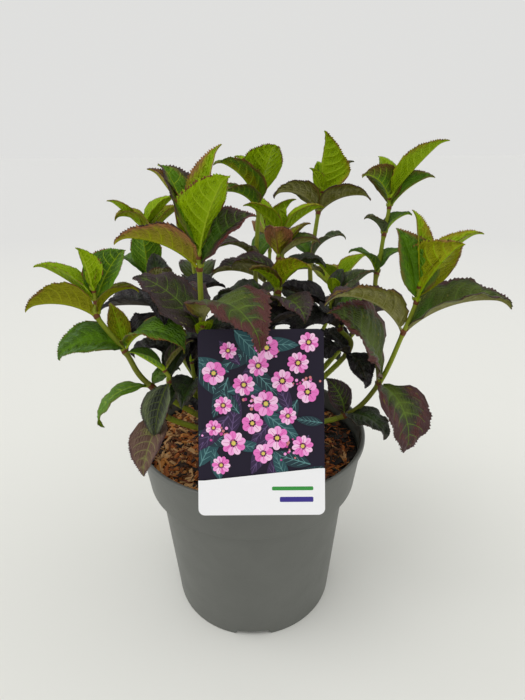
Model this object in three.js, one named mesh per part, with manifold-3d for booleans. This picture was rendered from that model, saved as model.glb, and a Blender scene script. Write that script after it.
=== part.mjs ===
import * as THREE from "three";
import { mergeVertices } from "three/addons/utils/BufferGeometryUtils.js";
import Module from "manifold-3d";

// A young hydrangea in its nursery pot, with a picture card hooked over the rim.
// Millimetres, Z up, the front towards -Y. The origin is the middle of the pot's underside.

// Driving sizes of the pot
const RIM_RADIUS = 110;
const RIM_INNER_RADIUS = 106.6;
const POT_HEIGHT = 191.2;
const LIP_HEIGHT = 6;
const COLLAR_BOTTOM = 142.4;
const COLLAR_BOTTOM_RADIUS = 102.6;
const BODY_TOP_RADIUS = 93.9;
const FOOT_RADIUS = 82.5;
const FOOT_RING_WIDTH = 8;
const FOOT_DISC_RADIUS = 22;
const FOOT_CLEARANCE = 5;
const FOOT_DISC_SLOPE = 3;
const FOOT_RING_SLOPE = 2;
const WALL = 1.5;
const COLLAR_EDGE_WIDTH = 1;
const COLLAR_EDGE_HEIGHT = 1.5;
const LIP_SHOULDER = 1;
const LIP_ROUNDING = 1.2;
const INNER_STEP = 3;
const INNER_STEP_FOOT = 2;
const NOTCH_COUNT = 4;
const NOTCH_WIDTH = 38;
const NOTCH_SLANT = 4;
const NOTCH_OVERCUT = 1;
const POT_SIDES = 48;

// Driving sizes of the soil, the woody stubs that the stems spring from, and the card
const SOIL_TOP = 177;
const SOIL_EDGE_TOP = 172;
const SOIL_FLAT_RADIUS = 45;
const STUB_RADIUS = 6;
const STUB_HEIGHT = 26;
const STUB_LEVELS = [0, 0.3, 0.75, 1];
const STUB_SWELL = [1.35, 1, 1.08, 0.8];
const CARD_WIDTH = 98;
const CARD_HEIGHT = 144;
const CARD_THICKNESS = 0.8;
const CARD_CORNER = 5;
const CORNER_SEGMENTS = 4;
const CARD_LEAN = 22.9;
const CARD_FOOT = new THREE.Vector3(9.6, -114.7, 180.5);
const TONGUE_WIDTH = 20;

// Driving sizes of the plant
const STEM_FOOT_RADIUS = 2.8;
const STEM_TIP_RADIUS = 1.5;
const STEM_SIDES = 8;
const TWIG_SIDES = 4;
const BOUGH_STEPS = 8;
const TWIG_STEPS_PER_JOINT = 2;
const CURVE_TENSION = 0.5;
const BARE_SHARE = 0.86;
const LEAF_THICKNESS = 1.8;
const LEAFSTALK_HALF_WIDTH = 1.3;
const CLEARANCE = 0.3;
const SEARCH_DISTANCE = 1;
const FINEST_DETAIL = 0.1;
const MERGE_DISTANCE = 1e-4;
const SEED = 20260;

// The stubs, each a woody shoot base: where it stands
const STUBS = {
  left: [-26, -10],
  front: [0, -28],
  right: [26, -2],
  back: [0, 26],
};

// Each shoot: the stub that it springs from and how high, then the joints of its stem from the lowest up.
// A joint has a place and its leaves. A leaf has its compass heading, its rise from root to tip, its length,
// and where the rules by age aren't enough, its own bend from root to tip, roll about its midrib and width.
const SHOOTS = [
  {
    name: "left", stub: "left", height: 190,
    joints: [
      { at: [-87, -32, 250], leaves: [[-155, -31, 68, { bend: 115, roll: 8, wide: 0.46 }], [31, 20, 34]] },
      {
        at: [-105, -36, 285],
        leaves: [
          [-150, 6, 63, { bend: 105, roll: -25, wide: 0.54 }],
          [-20, 8, 74, { bend: 125, wide: 0.6 }],
          [125, 60, 44, { bend: 20, wide: 0.42 }],
        ],
      },
      {
        at: [-123, -40, 318],
        leaves: [
          [-158, 15, 56, { bend: 60, roll: 40, wide: 0.58 }],
          [20, 28, 46, { bend: 95, wide: 0.42 }],
        ],
      },
      {
        at: [-122, -40, 330],
        leaves: [
          [50, 50, 51, { roll: 22, wide: 0.6 }],
          [-172, 39, 53, { wide: 0.4 }],
        ],
      },
      { at: [-122, -42, 340], leaves: [[-116, 76, 38, { roll: 10, wide: 0.46 }], [60, 66, 26]] },
    ],
  },
  {
    name: "front", stub: "front", height: 198,
    joints: [
      { at: [-38, -41, 298], leaves: [[172, 44, 80, { bend: 60, roll: -26, wide: 0.55 }], [30, 8, 58], [-48, 54, 26]] },
      {
        at: [-38, -42, 311],
        leaves: [
          [-54, 4, 104, { bend: 120, wide: 0.52 }],
          [128, 16, 62],
        ],
      },
      {
        at: [-37, -45, 357],
        leaves: [
          [-155, 25, 71, { bend: 54, roll: 35, wide: 0.42 }],
          [10, 43, 62, { bend: 45, roll: 26, wide: 0.6 }],
        ],
      },
      {
        at: [-37, -46, 367],
        leaves: [
          [-48, 58, 74, { roll: -12, wide: 0.52 }],
          [147, 65, 75, { roll: -10, wide: 0.5 }],
        ],
      },
      {
        at: [-36, -45, 380],
        leaves: [
          [36, 74, 70, { roll: 15, wide: 0.34 }],
          [158, 54, 64, { wide: 0.4 }],
        ],
      },
    ],
  },
  {
    name: "right", stub: "right", height: 186,
    joints: [
      {
        at: [91, 0, 200],
        leaves: [
          [-44, -4, 56, { bend: 90, wide: 0.66 }],
          [160, 60, 46, { bend: 50, roll: -60, wide: 0.52 }],
        ],
      },
      {
        at: [119, -8, 238],
        leaves: [
          [-156, 56, 103, { bend: 62, roll: -44, wide: 0.66 }],
          [-66, -47, 84, { bend: 130, roll: -4, wide: 0.56 }],
        ],
      },
      {
        at: [135, -14, 292],
        leaves: [
          [-157, 27, 98, { bend: 64, roll: 14, wide: 0.38 }],
          [-7, 19, 98, { bend: 64, wide: 0.5 }],
        ],
      },
      {
        at: [143, -14, 320],
        leaves: [
          [-40, 60, 65, { roll: -53, wide: 0.68 }],
          [158, 71, 66, { roll: -56, wide: 0.54 }],
        ],
      },
      {
        at: [144, -14, 334],
        leaves: [
          [115, 77, 64, { roll: 10, wide: 0.3 }],
          [5, 44, 68, { bend: 40, wide: 0.32 }],
        ],
      },
    ],
  },
  {
    name: "middle", stub: "back", height: 202,
    joints: [
      { at: [4, 48, 300], leaves: [[-160, 10, 50], [20, 15, 52]] },
      { at: [5, 58, 340], leaves: [[-143, 22, 58], [50, 22, 50]] },
      { at: [8, 65, 388], leaves: [[-142, 24, 50, { bend: 70 }], [-158, 47, 66]] },
      { at: [8, 66, 397], leaves: [[-60, 58, 60, { roll: -15, wide: 0.6 }], [140, 56, 50, { wide: 0.4 }]] },
      { at: [10, 66, 406], leaves: [[-150, 60, 30], [30, 55, 30]] },
    ],
  },
  {
    name: "upper", stub: "back", height: 205,
    joints: [
      { at: [26, 22, 330], leaves: [[0, 20, 50], [180, 20, 50]] },
      { at: [29, 25, 372], leaves: [[-170, 40, 44], [0, 35, 44]] },
      { at: [29, 25, 378], leaves: [[-120, 70, 18], [60, 70, 18]] },
    ],
  },
  {
    name: "back_middle", stub: "back", height: 196,
    joints: [
      { at: [55, 68, 290], leaves: [[-40, 5, 50], [140, 15, 50]] },
      { at: [61, 80, 335], leaves: [[-21, 40, 50], [150, 30, 46]] },
      {
        at: [68, 90, 382],
        leaves: [
          [-152, 21, 62, { bend: 78, roll: 30, wide: 0.44 }],
          [-28, 18, 60, { bend: 66, roll: -25, wide: 0.46 }],
        ],
      },
      { at: [70, 90, 394], leaves: [[-80, 77, 66, { roll: -68, wide: 0.66 }], [100, 70, 40]] },
      { at: [71, 90, 403], leaves: [[20, 42, 44, { wide: 0.3 }], [-160, 60, 26]] },
    ],
  },
  {
    name: "back_right", stub: "right", height: 196,
    joints: [
      { at: [112, 45, 285], leaves: [[-150, 5, 56], [30, 10, 50]] },
      { at: [125, 60, 326], leaves: [[-170, 40, 44], [0, 40, 42]] },
      { at: [130, 65, 364], leaves: [[-168, 40, 30], [5, 38, 35]] },
      {
        at: [134, 70, 389],
        leaves: [
          [-156, 42, 52, { bend: 90, roll: 30, wide: 0.56 }],
          [-10, 38, 50, { bend: 45, roll: 25 }],
        ],
      },
      { at: [133, 70, 398], leaves: [[-18, 50, 70, { roll: -6, wide: 0.44 }], [110, 60, 44]] },
    ],
  },
  {
    name: "back_left", stub: "left", height: 200,
    joints: [
      { at: [-85, 35, 280], leaves: [[-170, -5, 45], [10, 15, 50]] },
      { at: [-98, 45, 325], leaves: [[-88, 74, 58, { bend: 20, wide: 0.48 }], [140, 20, 50]] },
      { at: [-100, 52, 362], leaves: [[40, 34, 54], [-160, 40, 44, { bend: 130 }]] },
      { at: [-100, 52, 374], leaves: [[-166, 44, 40, { wide: 0.36 }], [30, 40, 44]] },
    ],
  },
  {
    name: "small", stub: "front", height: 202,
    joints: [
      { at: [23, -6, 312], leaves: [[-62, 4, 58, { bend: 110, wide: 0.62 }], [170, 10, 60], [-140, 0, 48]] },
      {
        at: [25, -4, 327],
        leaves: [
          [-161, 42, 38],
          [-30, 40, 44, { roll: -30, wide: 0.62 }],
          [-160, 45, 32, { bend: 30, wide: 0.56 }],
        ],
      },
      {
        at: [25, -6, 357],
        leaves: [
          [-102, 55, 38, { wide: 0.6 }],
          [0, 22, 40, { bend: 60 }],
          [20, 46, 40, { wide: 0.3 }],
        ],
      },
      { at: [25, -6, 366], leaves: [[-151, 60, 20], [35, 55, 20]] },
    ],
  },
  {
    name: "dark", stub: "right", height: 201,
    joints: [
      { at: [92, 12, 262], leaves: [[-150, 0, 52, { wide: 0.78 }], [120, 5, 50], [-60, -30, 48]] },
      { at: [83, 8, 288], leaves: [[-140, 5, 66, { bend: 90, wide: 0.74 }], [-30, 5, 56, { bend: 90 }]] },
      { at: [73, 8, 306], leaves: [[5, 45, 54], [165, 20, 56], [-80, 15, 46]] },
      { at: [75, 8, 318], leaves: [[-110, 65, 24], [60, 50, 30]] },
    ],
  },
  {
    name: "inner_left", stub: "left", height: 202,
    joints: [
      { at: [-62, 4, 262], leaves: [[170, 0, 60], [-10, 25, 66]] },
      { at: [-71, 8, 290], leaves: [[-110, 14, 66], [75, 15, 60]] },
      { at: [-78, 10, 310], leaves: [[175, -2, 64], [-80, 5, 56], [0, 20, 60]] },
      { at: [-81, 12, 319], leaves: [[110, 55, 44], [-70, 50, 44]] },
    ],
  },
  {
    name: "inner_front", stub: "front", height: 192,
    joints: [
      { at: [3, -37, 262], leaves: [[-165, 15, 54], [-90, -5, 40], [0, 15, 66, { wide: 0.74 }]] },
      { at: [5, -42, 290], leaves: [[-100, 34, 50], [85, 30, 50]] },
      { at: [8, -43, 306], leaves: [[178, 25, 50], [30, 20, 50]] },
      { at: [9, -43, 315], leaves: [[-70, 60, 34], [110, 60, 34]] },
    ],
  },
  {
    name: "low_left", stub: "left", height: 184,
    joints: [
      { at: [-74, -50, 232], leaves: [[-106, -35, 58, { bend: 60, wide: 0.5 }], [63, 20, 40]] },
      { at: [-67, -50, 264], leaves: [[-112, -56, 50, { bend: 60, wide: 0.46 }], [70, 30, 45]] },
      { at: [-70, -51, 275], leaves: [[-160, 40, 34], [20, 45, 34]] },
    ],
  },
  {
    name: "low_inner", stub: "left", height: 197,
    joints: [
      { at: [-48, -22, 226], leaves: [[178, -5, 56], [-70, 5, 40]] },
      { at: [-50, -24, 252], leaves: [[-100, 0, 54], [100, 25, 54]] },
      { at: [-52, -20, 268], leaves: [[100, 45, 40], [-40, 25, 44]] },
    ],
  },
  {
    name: "rear_left", stub: "back", height: 192,
    joints: [
      { at: [-45, 70, 250], leaves: [[-170, -10, 60], [10, 5, 60]] },
      { at: [-60, 102, 296], leaves: [[95, 10, 75], [-85, 15, 60]] },
      { at: [-66, 118, 330], leaves: [[170, 20, 70], [-10, 20, 60]] },
      { at: [-67, 122, 342], leaves: [[80, 60, 66], [-100, 60, 50]] },
    ],
  },
  {
    name: "rear", stub: "back", height: 188,
    joints: [
      { at: [12, 85, 255], leaves: [[150, -10, 60], [-30, 5, 55]] },
      { at: [18, 120, 300], leaves: [[-175, 10, 75], [5, 10, 72]] },
      { at: [20, 138, 335], leaves: [[90, 15, 78], [-90, 25, 55]] },
      { at: [20, 140, 347], leaves: [[150, 58, 64], [-30, 58, 56]] },
    ],
  },
  {
    name: "rear_right", stub: "back", height: 186,
    joints: [
      { at: [62, 75, 235], leaves: [[130, -15, 66], [-50, 5, 50]] },
      { at: [85, 102, 266], leaves: [[30, 5, 76], [-150, 10, 52]] },
      { at: [95, 115, 290], leaves: [[110, 12, 72], [-70, 20, 50]] },
      { at: [97, 118, 300], leaves: [[30, 40, 50], [-160, 45, 40]] },
    ],
  },
  {
    name: "low_back", stub: "back", height: 184,
    joints: [
      { at: [-18, 72, 214], leaves: [[130, -20, 70], [-40, 10, 40]] },
      { at: [-22, 88, 238], leaves: [[75, -10, 72], [-110, 10, 45]] },
    ],
  },
];

// Leaf rules by age, in joints from the shoot's tip: the bend along the leaf, the fold of its halves, and its
// width as a share of its length
const BEND_BY_AGE = [14, 28, 72, 84, 90];
const FOLD_BY_AGE = [38, 34, 28, 14, 4];
const WIDE_BY_AGE = [0.46, 0.5, 0.54, 0.6, 0.62];
const BEND_JITTER = 4;
const ROLL_JITTER = 5;
const TWIN_STEP = 0.4;
const NUDGE_STEP = 6;
const NUDGE_TRIES = 16;
const NUDGE_SHRINK = 0.025;
// Where the stations stand along a leaf, and its half width there as a share of the widest
const LEAF_STATIONS = [0, 0.1, 0.28, 0.5, 0.76, 1];
const LEAF_PROFILE = [0, 0, 0.82, 1, 0.58, 0];

const wasm = await Module();
wasm.setup();

// The small random generator known as mulberry32: a row of even numbers from 0 to 1 that the seed fixes
function randomFrom(seed) {
  let state = seed;
  return () => {
    state = (state + 0x6d2b79f5) | 0;
    let value = Math.imul(state ^ (state >>> 15), 1 | state);
    value = (value + Math.imul(value ^ (value >>> 7), 61 | value)) ^ value;
    return ((value ^ (value >>> 14)) >>> 0) / 4294967296;
  };
}

function toSolid(geometry) {
  const bare = geometry.clone();
  bare.deleteAttribute("normal");
  bare.deleteAttribute("uv");
  const merged = mergeVertices(bare, MERGE_DISTANCE);
  return new wasm.Manifold(new wasm.Mesh({
    numProp: 3,
    vertProperties: new Float32Array(merged.attributes.position.array),
    triVerts: new Uint32Array(merged.index.array),
  }));
}

function toGeometry(solid) {
  const mesh = solid.getMesh();
  const geometry = new THREE.BufferGeometry();
  geometry.setAttribute("position", new THREE.BufferAttribute(mesh.vertProperties, 3));
  geometry.setIndex(new THREE.BufferAttribute(mesh.triVerts, 1));
  return geometry;
}

function largestBody(solid) {
  const bodies = solid.decompose();
  return bodies.reduce((best, body) => (body.volume() > best.volume() ? body : best));
}

// Joins a row of rings into one closed solid. The last ring may be a single point.
function skin(rings) {
  const positions = rings.flat().flatMap((point) => point.toArray());
  const faces = [];
  const count = rings[0].length;
  for (let ring = 0; ring < rings.length - 1; ring++) {
    const low = ring * count;
    const high = low + count;
    const pointed = rings[ring + 1].length === 1;
    for (let side = 0; side < count; side++) {
      const next = (side + 1) % count;
      if (pointed) {
        faces.push(low + side, low + next, high);
      } else {
        faces.push(low + side, low + next, high + next);
        faces.push(low + side, high + next, high + side);
      }
    }
  }
  for (let side = 1; side < count - 1; side++) {
    faces.push(0, side + 1, side);
  }
  const end = rings.at(-1);
  const endStart = (rings.length - 1) * count;
  for (let side = 1; side < end.length - 1; side++) {
    faces.push(endStart, endStart + side, endStart + side + 1);
  }
  const geometry = new THREE.BufferGeometry();
  geometry.setAttribute("position", new THREE.Float32BufferAttribute(positions, 3));
  geometry.setIndex(faces);
  return toSolid(geometry);
}

// A tapering limb along a curve, with flat ends. The first ring may start a little late along the curve.
function limb(curve, shares, radii, sides, startGap = 0) {
  const rings = shares.map((share, index) => {
    const along = curve.getTangent(share);
    const point = curve.getPoint(share);
    if (index === 0) {
      point.addScaledVector(along, startGap);
    }
    const across = new THREE.Vector3(1, 0, 0).addScaledVector(along, -along.x).normalize();
    const third = along.clone().cross(across);
    return Array.from({ length: sides }, (_, side) => {
      const angle = (2 * Math.PI * side) / sides;
      return point.clone()
        .addScaledVector(across, radii[index] * Math.cos(angle))
        .addScaledVector(third, radii[index] * Math.sin(angle));
    });
  });
  return skin(rings);
}

// One leaf: a bent blade with a sharp edge on a short stalk, its root at the middle of the stem
function leaf(root, heading, rise, length, bend, fold, roll, wide) {
  const h = THREE.MathUtils.degToRad(heading);
  const turn = THREE.MathUtils.degToRad(roll);
  const lift = Math.tan(THREE.MathUtils.degToRad(fold));
  const halfWidth = (length * wide) / 2;
  const level = new THREE.Vector3(Math.sin(h), -Math.cos(h), 0);
  const rings = [];
  const centre = root.clone();
  LEAF_STATIONS.forEach((station, index) => {
    const last = index > 0 ? LEAF_STATIONS[index - 1] : 0;
    const middleAngle = THREE.MathUtils.degToRad(rise + bend * (0.5 - (station + last) / 2));
    const step = (station - last) * length;
    centre.x += step * Math.cos(middleAngle) * Math.cos(h);
    centre.y += step * Math.cos(middleAngle) * Math.sin(h);
    centre.z += step * Math.sin(middleAngle);
    if (station === 1) {
      rings.push([centre.clone()]);
      return;
    }
    const angle = THREE.MathUtils.degToRad(rise + bend * (0.5 - station));
    const back = -Math.sin(angle);
    const up = new THREE.Vector3(back * Math.cos(h), back * Math.sin(h), Math.cos(angle));
    const side = level.clone().multiplyScalar(Math.cos(turn)).addScaledVector(up, -Math.sin(turn));
    const normal = up.clone().multiplyScalar(Math.cos(turn)).addScaledVector(level, Math.sin(turn));
    const half = Math.max(halfWidth * LEAF_PROFILE[index], LEAFSTALK_HALF_WIDTH);
    const edgeLift = LEAF_PROFILE[index] > 0 ? half * lift : 0;
    rings.push([
      centre.clone().addScaledVector(side, half).addScaledVector(normal, edgeLift),
      centre.clone().addScaledVector(normal, -LEAF_THICKNESS / 2),
      centre.clone().addScaledVector(side, -half).addScaledVector(normal, edgeLift),
      centre.clone().addScaledVector(normal, LEAF_THICKNESS / 2),
    ]);
  });
  return skin(rings);
}

function boxesMeet(a, b) {
  return [0, 1, 2].every((axis) => {
    const apart = Math.max(a.min[axis] - b.max[axis], b.min[axis] - a.max[axis]);
    return apart < SEARCH_DISTANCE;
  });
}

function isClear(solid, obstacles) {
  const box = solid.boundingBox();
  return obstacles.every((other) => {
    return !boxesMeet(box, other.box) || solid.minGap(other.solid, SEARCH_DISTANCE) >= CLEARANCE;
  });
}

function asObstacle(solid) {
  return { solid, box: solid.boundingBox() };
}

function material(colour, roughness) {
  return new THREE.MeshStandardMaterial({ color: colour, roughness, metalness: 0 });
}

const group = new THREE.Group();

function addMesh(name, solid, look) {
  const mesh = new THREE.Mesh(toGeometry(solid), look);
  mesh.name = name;
  group.add(mesh);
}

function revolve(profile) {
  const geometry = new THREE.LatheGeometry(profile.map(([r, z]) => new THREE.Vector2(r, z)), POT_SIDES);
  geometry.rotateX(Math.PI / 2);
  return toSolid(geometry);
}

// The wall's radius at a height inside the collar and the body, for the soil to follow
function innerRadius(z) {
  const collarInner = COLLAR_BOTTOM_RADIUS - WALL;
  if (z > COLLAR_BOTTOM) {
    const share = (z - COLLAR_BOTTOM) / (POT_HEIGHT - COLLAR_BOTTOM);
    return THREE.MathUtils.lerp(collarInner, RIM_INNER_RADIUS, share);
  }
  return THREE.MathUtils.lerp(FOOT_RADIUS, BODY_TOP_RADIUS, z / COLLAR_BOTTOM) - WALL;
}

const FLOOR_TOP = FOOT_CLEARANCE + 2 * WALL;
const LIP_BOTTOM = POT_HEIGHT - LIP_HEIGHT;
const INNER_STEP_TOP = COLLAR_BOTTOM + INNER_STEP;
const INNER_STEP_BOTTOM = COLLAR_BOTTOM - INNER_STEP_FOOT;

// The pot: foot ring and centre disc on the ground, slim body, deep collar and a rounded lip
function makePot() {
  const collarTop = RIM_INNER_RADIUS + WALL / 2;
  const shell = revolve([
    [0, 0],
    [FOOT_DISC_RADIUS, 0],
    [FOOT_DISC_RADIUS + FOOT_DISC_SLOPE, FOOT_CLEARANCE],
    [FOOT_RADIUS - FOOT_RING_WIDTH - FOOT_RING_SLOPE, FOOT_CLEARANCE],
    [FOOT_RADIUS - FOOT_RING_WIDTH, 0],
    [FOOT_RADIUS, 0],
    [BODY_TOP_RADIUS, COLLAR_BOTTOM],
    [COLLAR_BOTTOM_RADIUS - COLLAR_EDGE_WIDTH, COLLAR_BOTTOM],
    [COLLAR_BOTTOM_RADIUS, COLLAR_BOTTOM + COLLAR_EDGE_HEIGHT],
    [collarTop, LIP_BOTTOM - LIP_SHOULDER],
    [RIM_RADIUS, LIP_BOTTOM],
    [RIM_RADIUS, POT_HEIGHT - LIP_ROUNDING],
    [RIM_RADIUS - LIP_ROUNDING, POT_HEIGHT],
    [RIM_INNER_RADIUS + LIP_ROUNDING, POT_HEIGHT],
    [RIM_INNER_RADIUS, POT_HEIGHT - LIP_ROUNDING],
    [innerRadius(LIP_BOTTOM), LIP_BOTTOM],
    [innerRadius(INNER_STEP_TOP), INNER_STEP_TOP],
    [innerRadius(INNER_STEP_BOTTOM), INNER_STEP_BOTTOM],
    [innerRadius(FLOOR_TOP), FLOOR_TOP],
    [0, FLOOR_TOP],
  ]);
  const notch = new THREE.Shape([
    new THREE.Vector2(-NOTCH_WIDTH / 2, -NOTCH_OVERCUT),
    new THREE.Vector2(NOTCH_WIDTH / 2, -NOTCH_OVERCUT),
    new THREE.Vector2(NOTCH_WIDTH / 2 - NOTCH_SLANT, FOOT_CLEARANCE),
    new THREE.Vector2(-NOTCH_WIDTH / 2 + NOTCH_SLANT, FOOT_CLEARANCE),
  ]);
  const cutters = Array.from({ length: NOTCH_COUNT }, (_, index) => {
    const depth = FOOT_RADIUS - FOOT_DISC_RADIUS;
    const cutter = new THREE.ExtrudeGeometry(notch, { depth, bevelEnabled: false });
    cutter.translate(0, 0, FOOT_DISC_RADIUS + FOOT_RING_WIDTH);
    cutter.rotateX(Math.PI / 2);
    cutter.rotateZ((2 * Math.PI * index) / NOTCH_COUNT);
    return toSolid(cutter);
  });
  return largestBody(shell.subtract(wasm.Manifold.union(cutters)));
}

// The potting mix: it fills the pot, a little domed
function makeSoil() {
  const bottom = FLOOR_TOP + CLEARANCE;
  const gap = 2 * CLEARANCE;
  return revolve([
    [0, bottom],
    [innerRadius(bottom) - gap, bottom],
    [innerRadius(INNER_STEP_BOTTOM) - gap, INNER_STEP_TOP - gap],
    [innerRadius(INNER_STEP_TOP) - gap, INNER_STEP_TOP + gap],
    [innerRadius(SOIL_EDGE_TOP) - gap, SOIL_EDGE_TOP],
    [SOIL_FLAT_RADIUS, SOIL_TOP],
    [0, SOIL_TOP],
  ]);
}

// The card: a plate with round corners that leans back, and a tongue that hooks over the rim
function makeCard() {
  const left = -CARD_WIDTH / 2;
  const r = CARD_CORNER;
  const outline = new THREE.Shape();
  outline.moveTo(left + r, 0);
  outline.lineTo(-left - r, 0);
  outline.absarc(-left - r, r, r, -Math.PI / 2, 0);
  outline.lineTo(-left, CARD_HEIGHT - r);
  outline.absarc(-left - r, CARD_HEIGHT - r, r, 0, Math.PI / 2);
  outline.lineTo(left + r, CARD_HEIGHT);
  outline.absarc(left + r, CARD_HEIGHT - r, r, Math.PI / 2, Math.PI);
  outline.lineTo(left, r);
  outline.absarc(left + r, r, r, Math.PI, 1.5 * Math.PI);
  const sheet = { depth: CARD_THICKNESS, bevelEnabled: false, curveSegments: CORNER_SEGMENTS };
  const plate = new THREE.ExtrudeGeometry(outline, sheet);
  plate.rotateX(Math.PI / 2 - THREE.MathUtils.degToRad(CARD_LEAN));
  plate.translate(CARD_FOOT.x, CARD_FOOT.y, CARD_FOOT.z);
  const rimFront = -RIM_INNER_RADIUS;
  const overRim = POT_HEIGHT + CLEARANCE;
  const tongueEnd = SOIL_EDGE_TOP + 4 * CLEARANCE;
  const side = new THREE.Shape([
    new THREE.Vector2(rimFront - 2.4, overRim + 2.6),
    new THREE.Vector2(rimFront - 1.6, overRim),
    new THREE.Vector2(rimFront + 1.6, overRim),
    new THREE.Vector2(rimFront + 4.6, tongueEnd),
    new THREE.Vector2(rimFront + 4.6 + CARD_THICKNESS, tongueEnd),
    new THREE.Vector2(rimFront + 2.5, overRim + CARD_THICKNESS),
    new THREE.Vector2(rimFront - 1.2, overRim + 1.2),
    new THREE.Vector2(rimFront - 1.4, overRim + 2.6),
  ]);
  const tongue = new THREE.ExtrudeGeometry(side, { depth: TONGUE_WIDTH, bevelEnabled: false });
  tongue.rotateX(Math.PI / 2);
  tongue.rotateZ(Math.PI / 2);
  tongue.translate(-TONGUE_WIDTH / 2, 0, 0);
  return largestBody(toSolid(plate).add(toSolid(tongue)));
}

// A woody stub at its place, or with extra all round the room that it takes up
function makeStub([x, y], extra = 0) {
  const foot = new THREE.Vector3(x, y, SOIL_TOP + CLEARANCE);
  const axis = new THREE.LineCurve3(foot, new THREE.Vector3(x, y, foot.z + STUB_HEIGHT));
  return limb(axis, STUB_LEVELS, STUB_SWELL.map((share) => share * STUB_RADIUS + extra), STEM_SIDES);
}

// The stem's curve of one shoot, from inside its stub through every joint
function stemCurve(shoot) {
  const [x, y] = STUBS[shoot.stub];
  const points = [new THREE.Vector3(x, y, shoot.height)];
  shoot.joints.forEach((joint) => points.push(new THREE.Vector3(...joint.at)));
  return new THREE.CatmullRomCurve3(points, false, "catmullrom", CURVE_TENSION);
}

function stemRadius(share) {
  return THREE.MathUtils.lerp(STEM_FOOT_RADIUS, STEM_TIP_RADIUS, share);
}

function evenShares(from, to, steps) {
  return Array.from({ length: steps + 1 }, (_, index) => THREE.MathUtils.lerp(from, to, index / steps));
}

// The bare part of a stem: it ends just under the shoot's lowest joint
function bareEnd(shoot) {
  return BARE_SHARE / shoot.joints.length;
}

// Each bare stem is cut clear of the stubs and of the stems before it, so that it starts at their bark
function makeBoughs() {
  let grown = wasm.Manifold.union(Object.values(STUBS).map((place) => makeStub(place, CLEARANCE)));
  return SHOOTS.map((shoot) => {
    const curve = stemCurve(shoot);
    const shares = evenShares(0, bareEnd(shoot), BOUGH_STEPS);
    const radii = shares.map(stemRadius);
    const bough = limb(curve, shares, radii, STEM_SIDES).subtract(grown);
    grown = grown.add(limb(curve, shares, radii.map((radius) => radius + CLEARANCE), STEM_SIDES));
    return { shoot, curve, solid: largestBody(bough.simplify(FINEST_DETAIL)) };
  });
}

// The leafy end of a stem, which carries a mass of foliage
function makeTwig({ shoot, curve }) {
  const shares = evenShares(bareEnd(shoot), 1, shoot.joints.length * TWIG_STEPS_PER_JOINT);
  return limb(curve, shares, shares.map(stemRadius), TWIG_SIDES, CLEARANCE);
}

// One mass of foliage: a twig with its leaves, each turned aside, or left out where it would still touch a
// limb or another mass
function makeFoliage(shoot, twig, obstacles, random) {
  const pieces = [twig];
  shoot.joints.forEach((joint, index) => {
    const age = Math.min(shoot.joints.length - 1 - index, BEND_BY_AGE.length - 1);
    joint.leaves.forEach(([heading, rise, length, own = {}], twin) => {
      const bend = (own.bend ?? BEND_BY_AGE[age]) + BEND_JITTER * (2 * random() - 1);
      const roll = (own.roll ?? 0) + ROLL_JITTER * (2 * random() - 1);
      const wide = own.wide ?? WIDE_BY_AGE[age];
      const root = new THREE.Vector3(...joint.at);
      root.z += TWIN_STEP * twin;
      for (let attempt = 0; attempt < NUDGE_TRIES; attempt++) {
        const swing = NUDGE_STEP * Math.ceil(attempt / 2) * (attempt % 2 ? 1 : -1);
        const size = length * (1 - NUDGE_SHRINK * attempt);
        const blade = leaf(root, heading + swing, rise + swing / 2, size, bend, FOLD_BY_AGE[age], roll, wide);
        if (isClear(blade, obstacles)) {
          pieces.push(blade);
          return;
        }
      }
    });
  });
  return largestBody(wasm.Manifold.union(pieces).simplify(FINEST_DETAIL));
}

const plastic = material(0x5d605d, 0.6);
const bark = material(0x6b5a3c, 0.9);
const green = material(0x6f8a2c, 0.6);
const pot = makePot();
const soil = makeSoil();
const card = makeCard();
const stubs = Object.values(STUBS).map((place) => makeStub(place));
const boughs = makeBoughs();
const twigs = boughs.map(makeTwig);
const limbs = [pot, soil, card, ...stubs, ...boughs.map((bough) => bough.solid)].map(asObstacle);
const masses = twigs.map(asObstacle);
const random = randomFrom(SEED);

addMesh("pot", pot, plastic);
addMesh("soil", soil, material(0x5a3a1e, 1));
addMesh("label_card", card, material(0xe8e6ea, 0.35));
Object.keys(STUBS).forEach((name, index) => addMesh(`stub_${name}`, stubs[index], bark));
boughs.forEach((bough) => addMesh(`stem_${bough.shoot.name}`, bough.solid, green));
SHOOTS.forEach((shoot, index) => {
  const others = masses.filter((_, other) => other !== index);
  const foliage = makeFoliage(shoot, twigs[index], [...limbs, ...others], random);
  masses[index] = asObstacle(foliage);
  addMesh(`foliage_${shoot.name}`, foliage, green);
});

export default group;
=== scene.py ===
"""The looks of a young hydrangea in its nursery pot, with a picture card hooked over the rim.

Sizes in the tables are millimetres in the part's own frame, and meshes are written in metres.
"""

import functools
import math

import bmesh
import bpy
import numpy as np
from mathutils import Matrix, Vector


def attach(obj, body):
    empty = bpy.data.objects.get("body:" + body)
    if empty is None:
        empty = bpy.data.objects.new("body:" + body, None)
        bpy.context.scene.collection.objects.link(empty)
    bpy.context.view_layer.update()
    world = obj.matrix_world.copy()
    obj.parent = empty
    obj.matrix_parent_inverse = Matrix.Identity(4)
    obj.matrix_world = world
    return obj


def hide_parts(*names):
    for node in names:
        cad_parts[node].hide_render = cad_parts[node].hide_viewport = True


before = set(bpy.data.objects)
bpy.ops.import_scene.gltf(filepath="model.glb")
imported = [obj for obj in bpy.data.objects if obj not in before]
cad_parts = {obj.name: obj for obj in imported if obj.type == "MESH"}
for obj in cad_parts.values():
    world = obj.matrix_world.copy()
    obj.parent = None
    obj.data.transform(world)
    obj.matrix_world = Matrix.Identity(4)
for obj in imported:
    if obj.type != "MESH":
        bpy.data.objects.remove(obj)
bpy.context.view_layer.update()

MM = 0.001
UPRIGHT = np.array([0, 0, 1.0])

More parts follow.
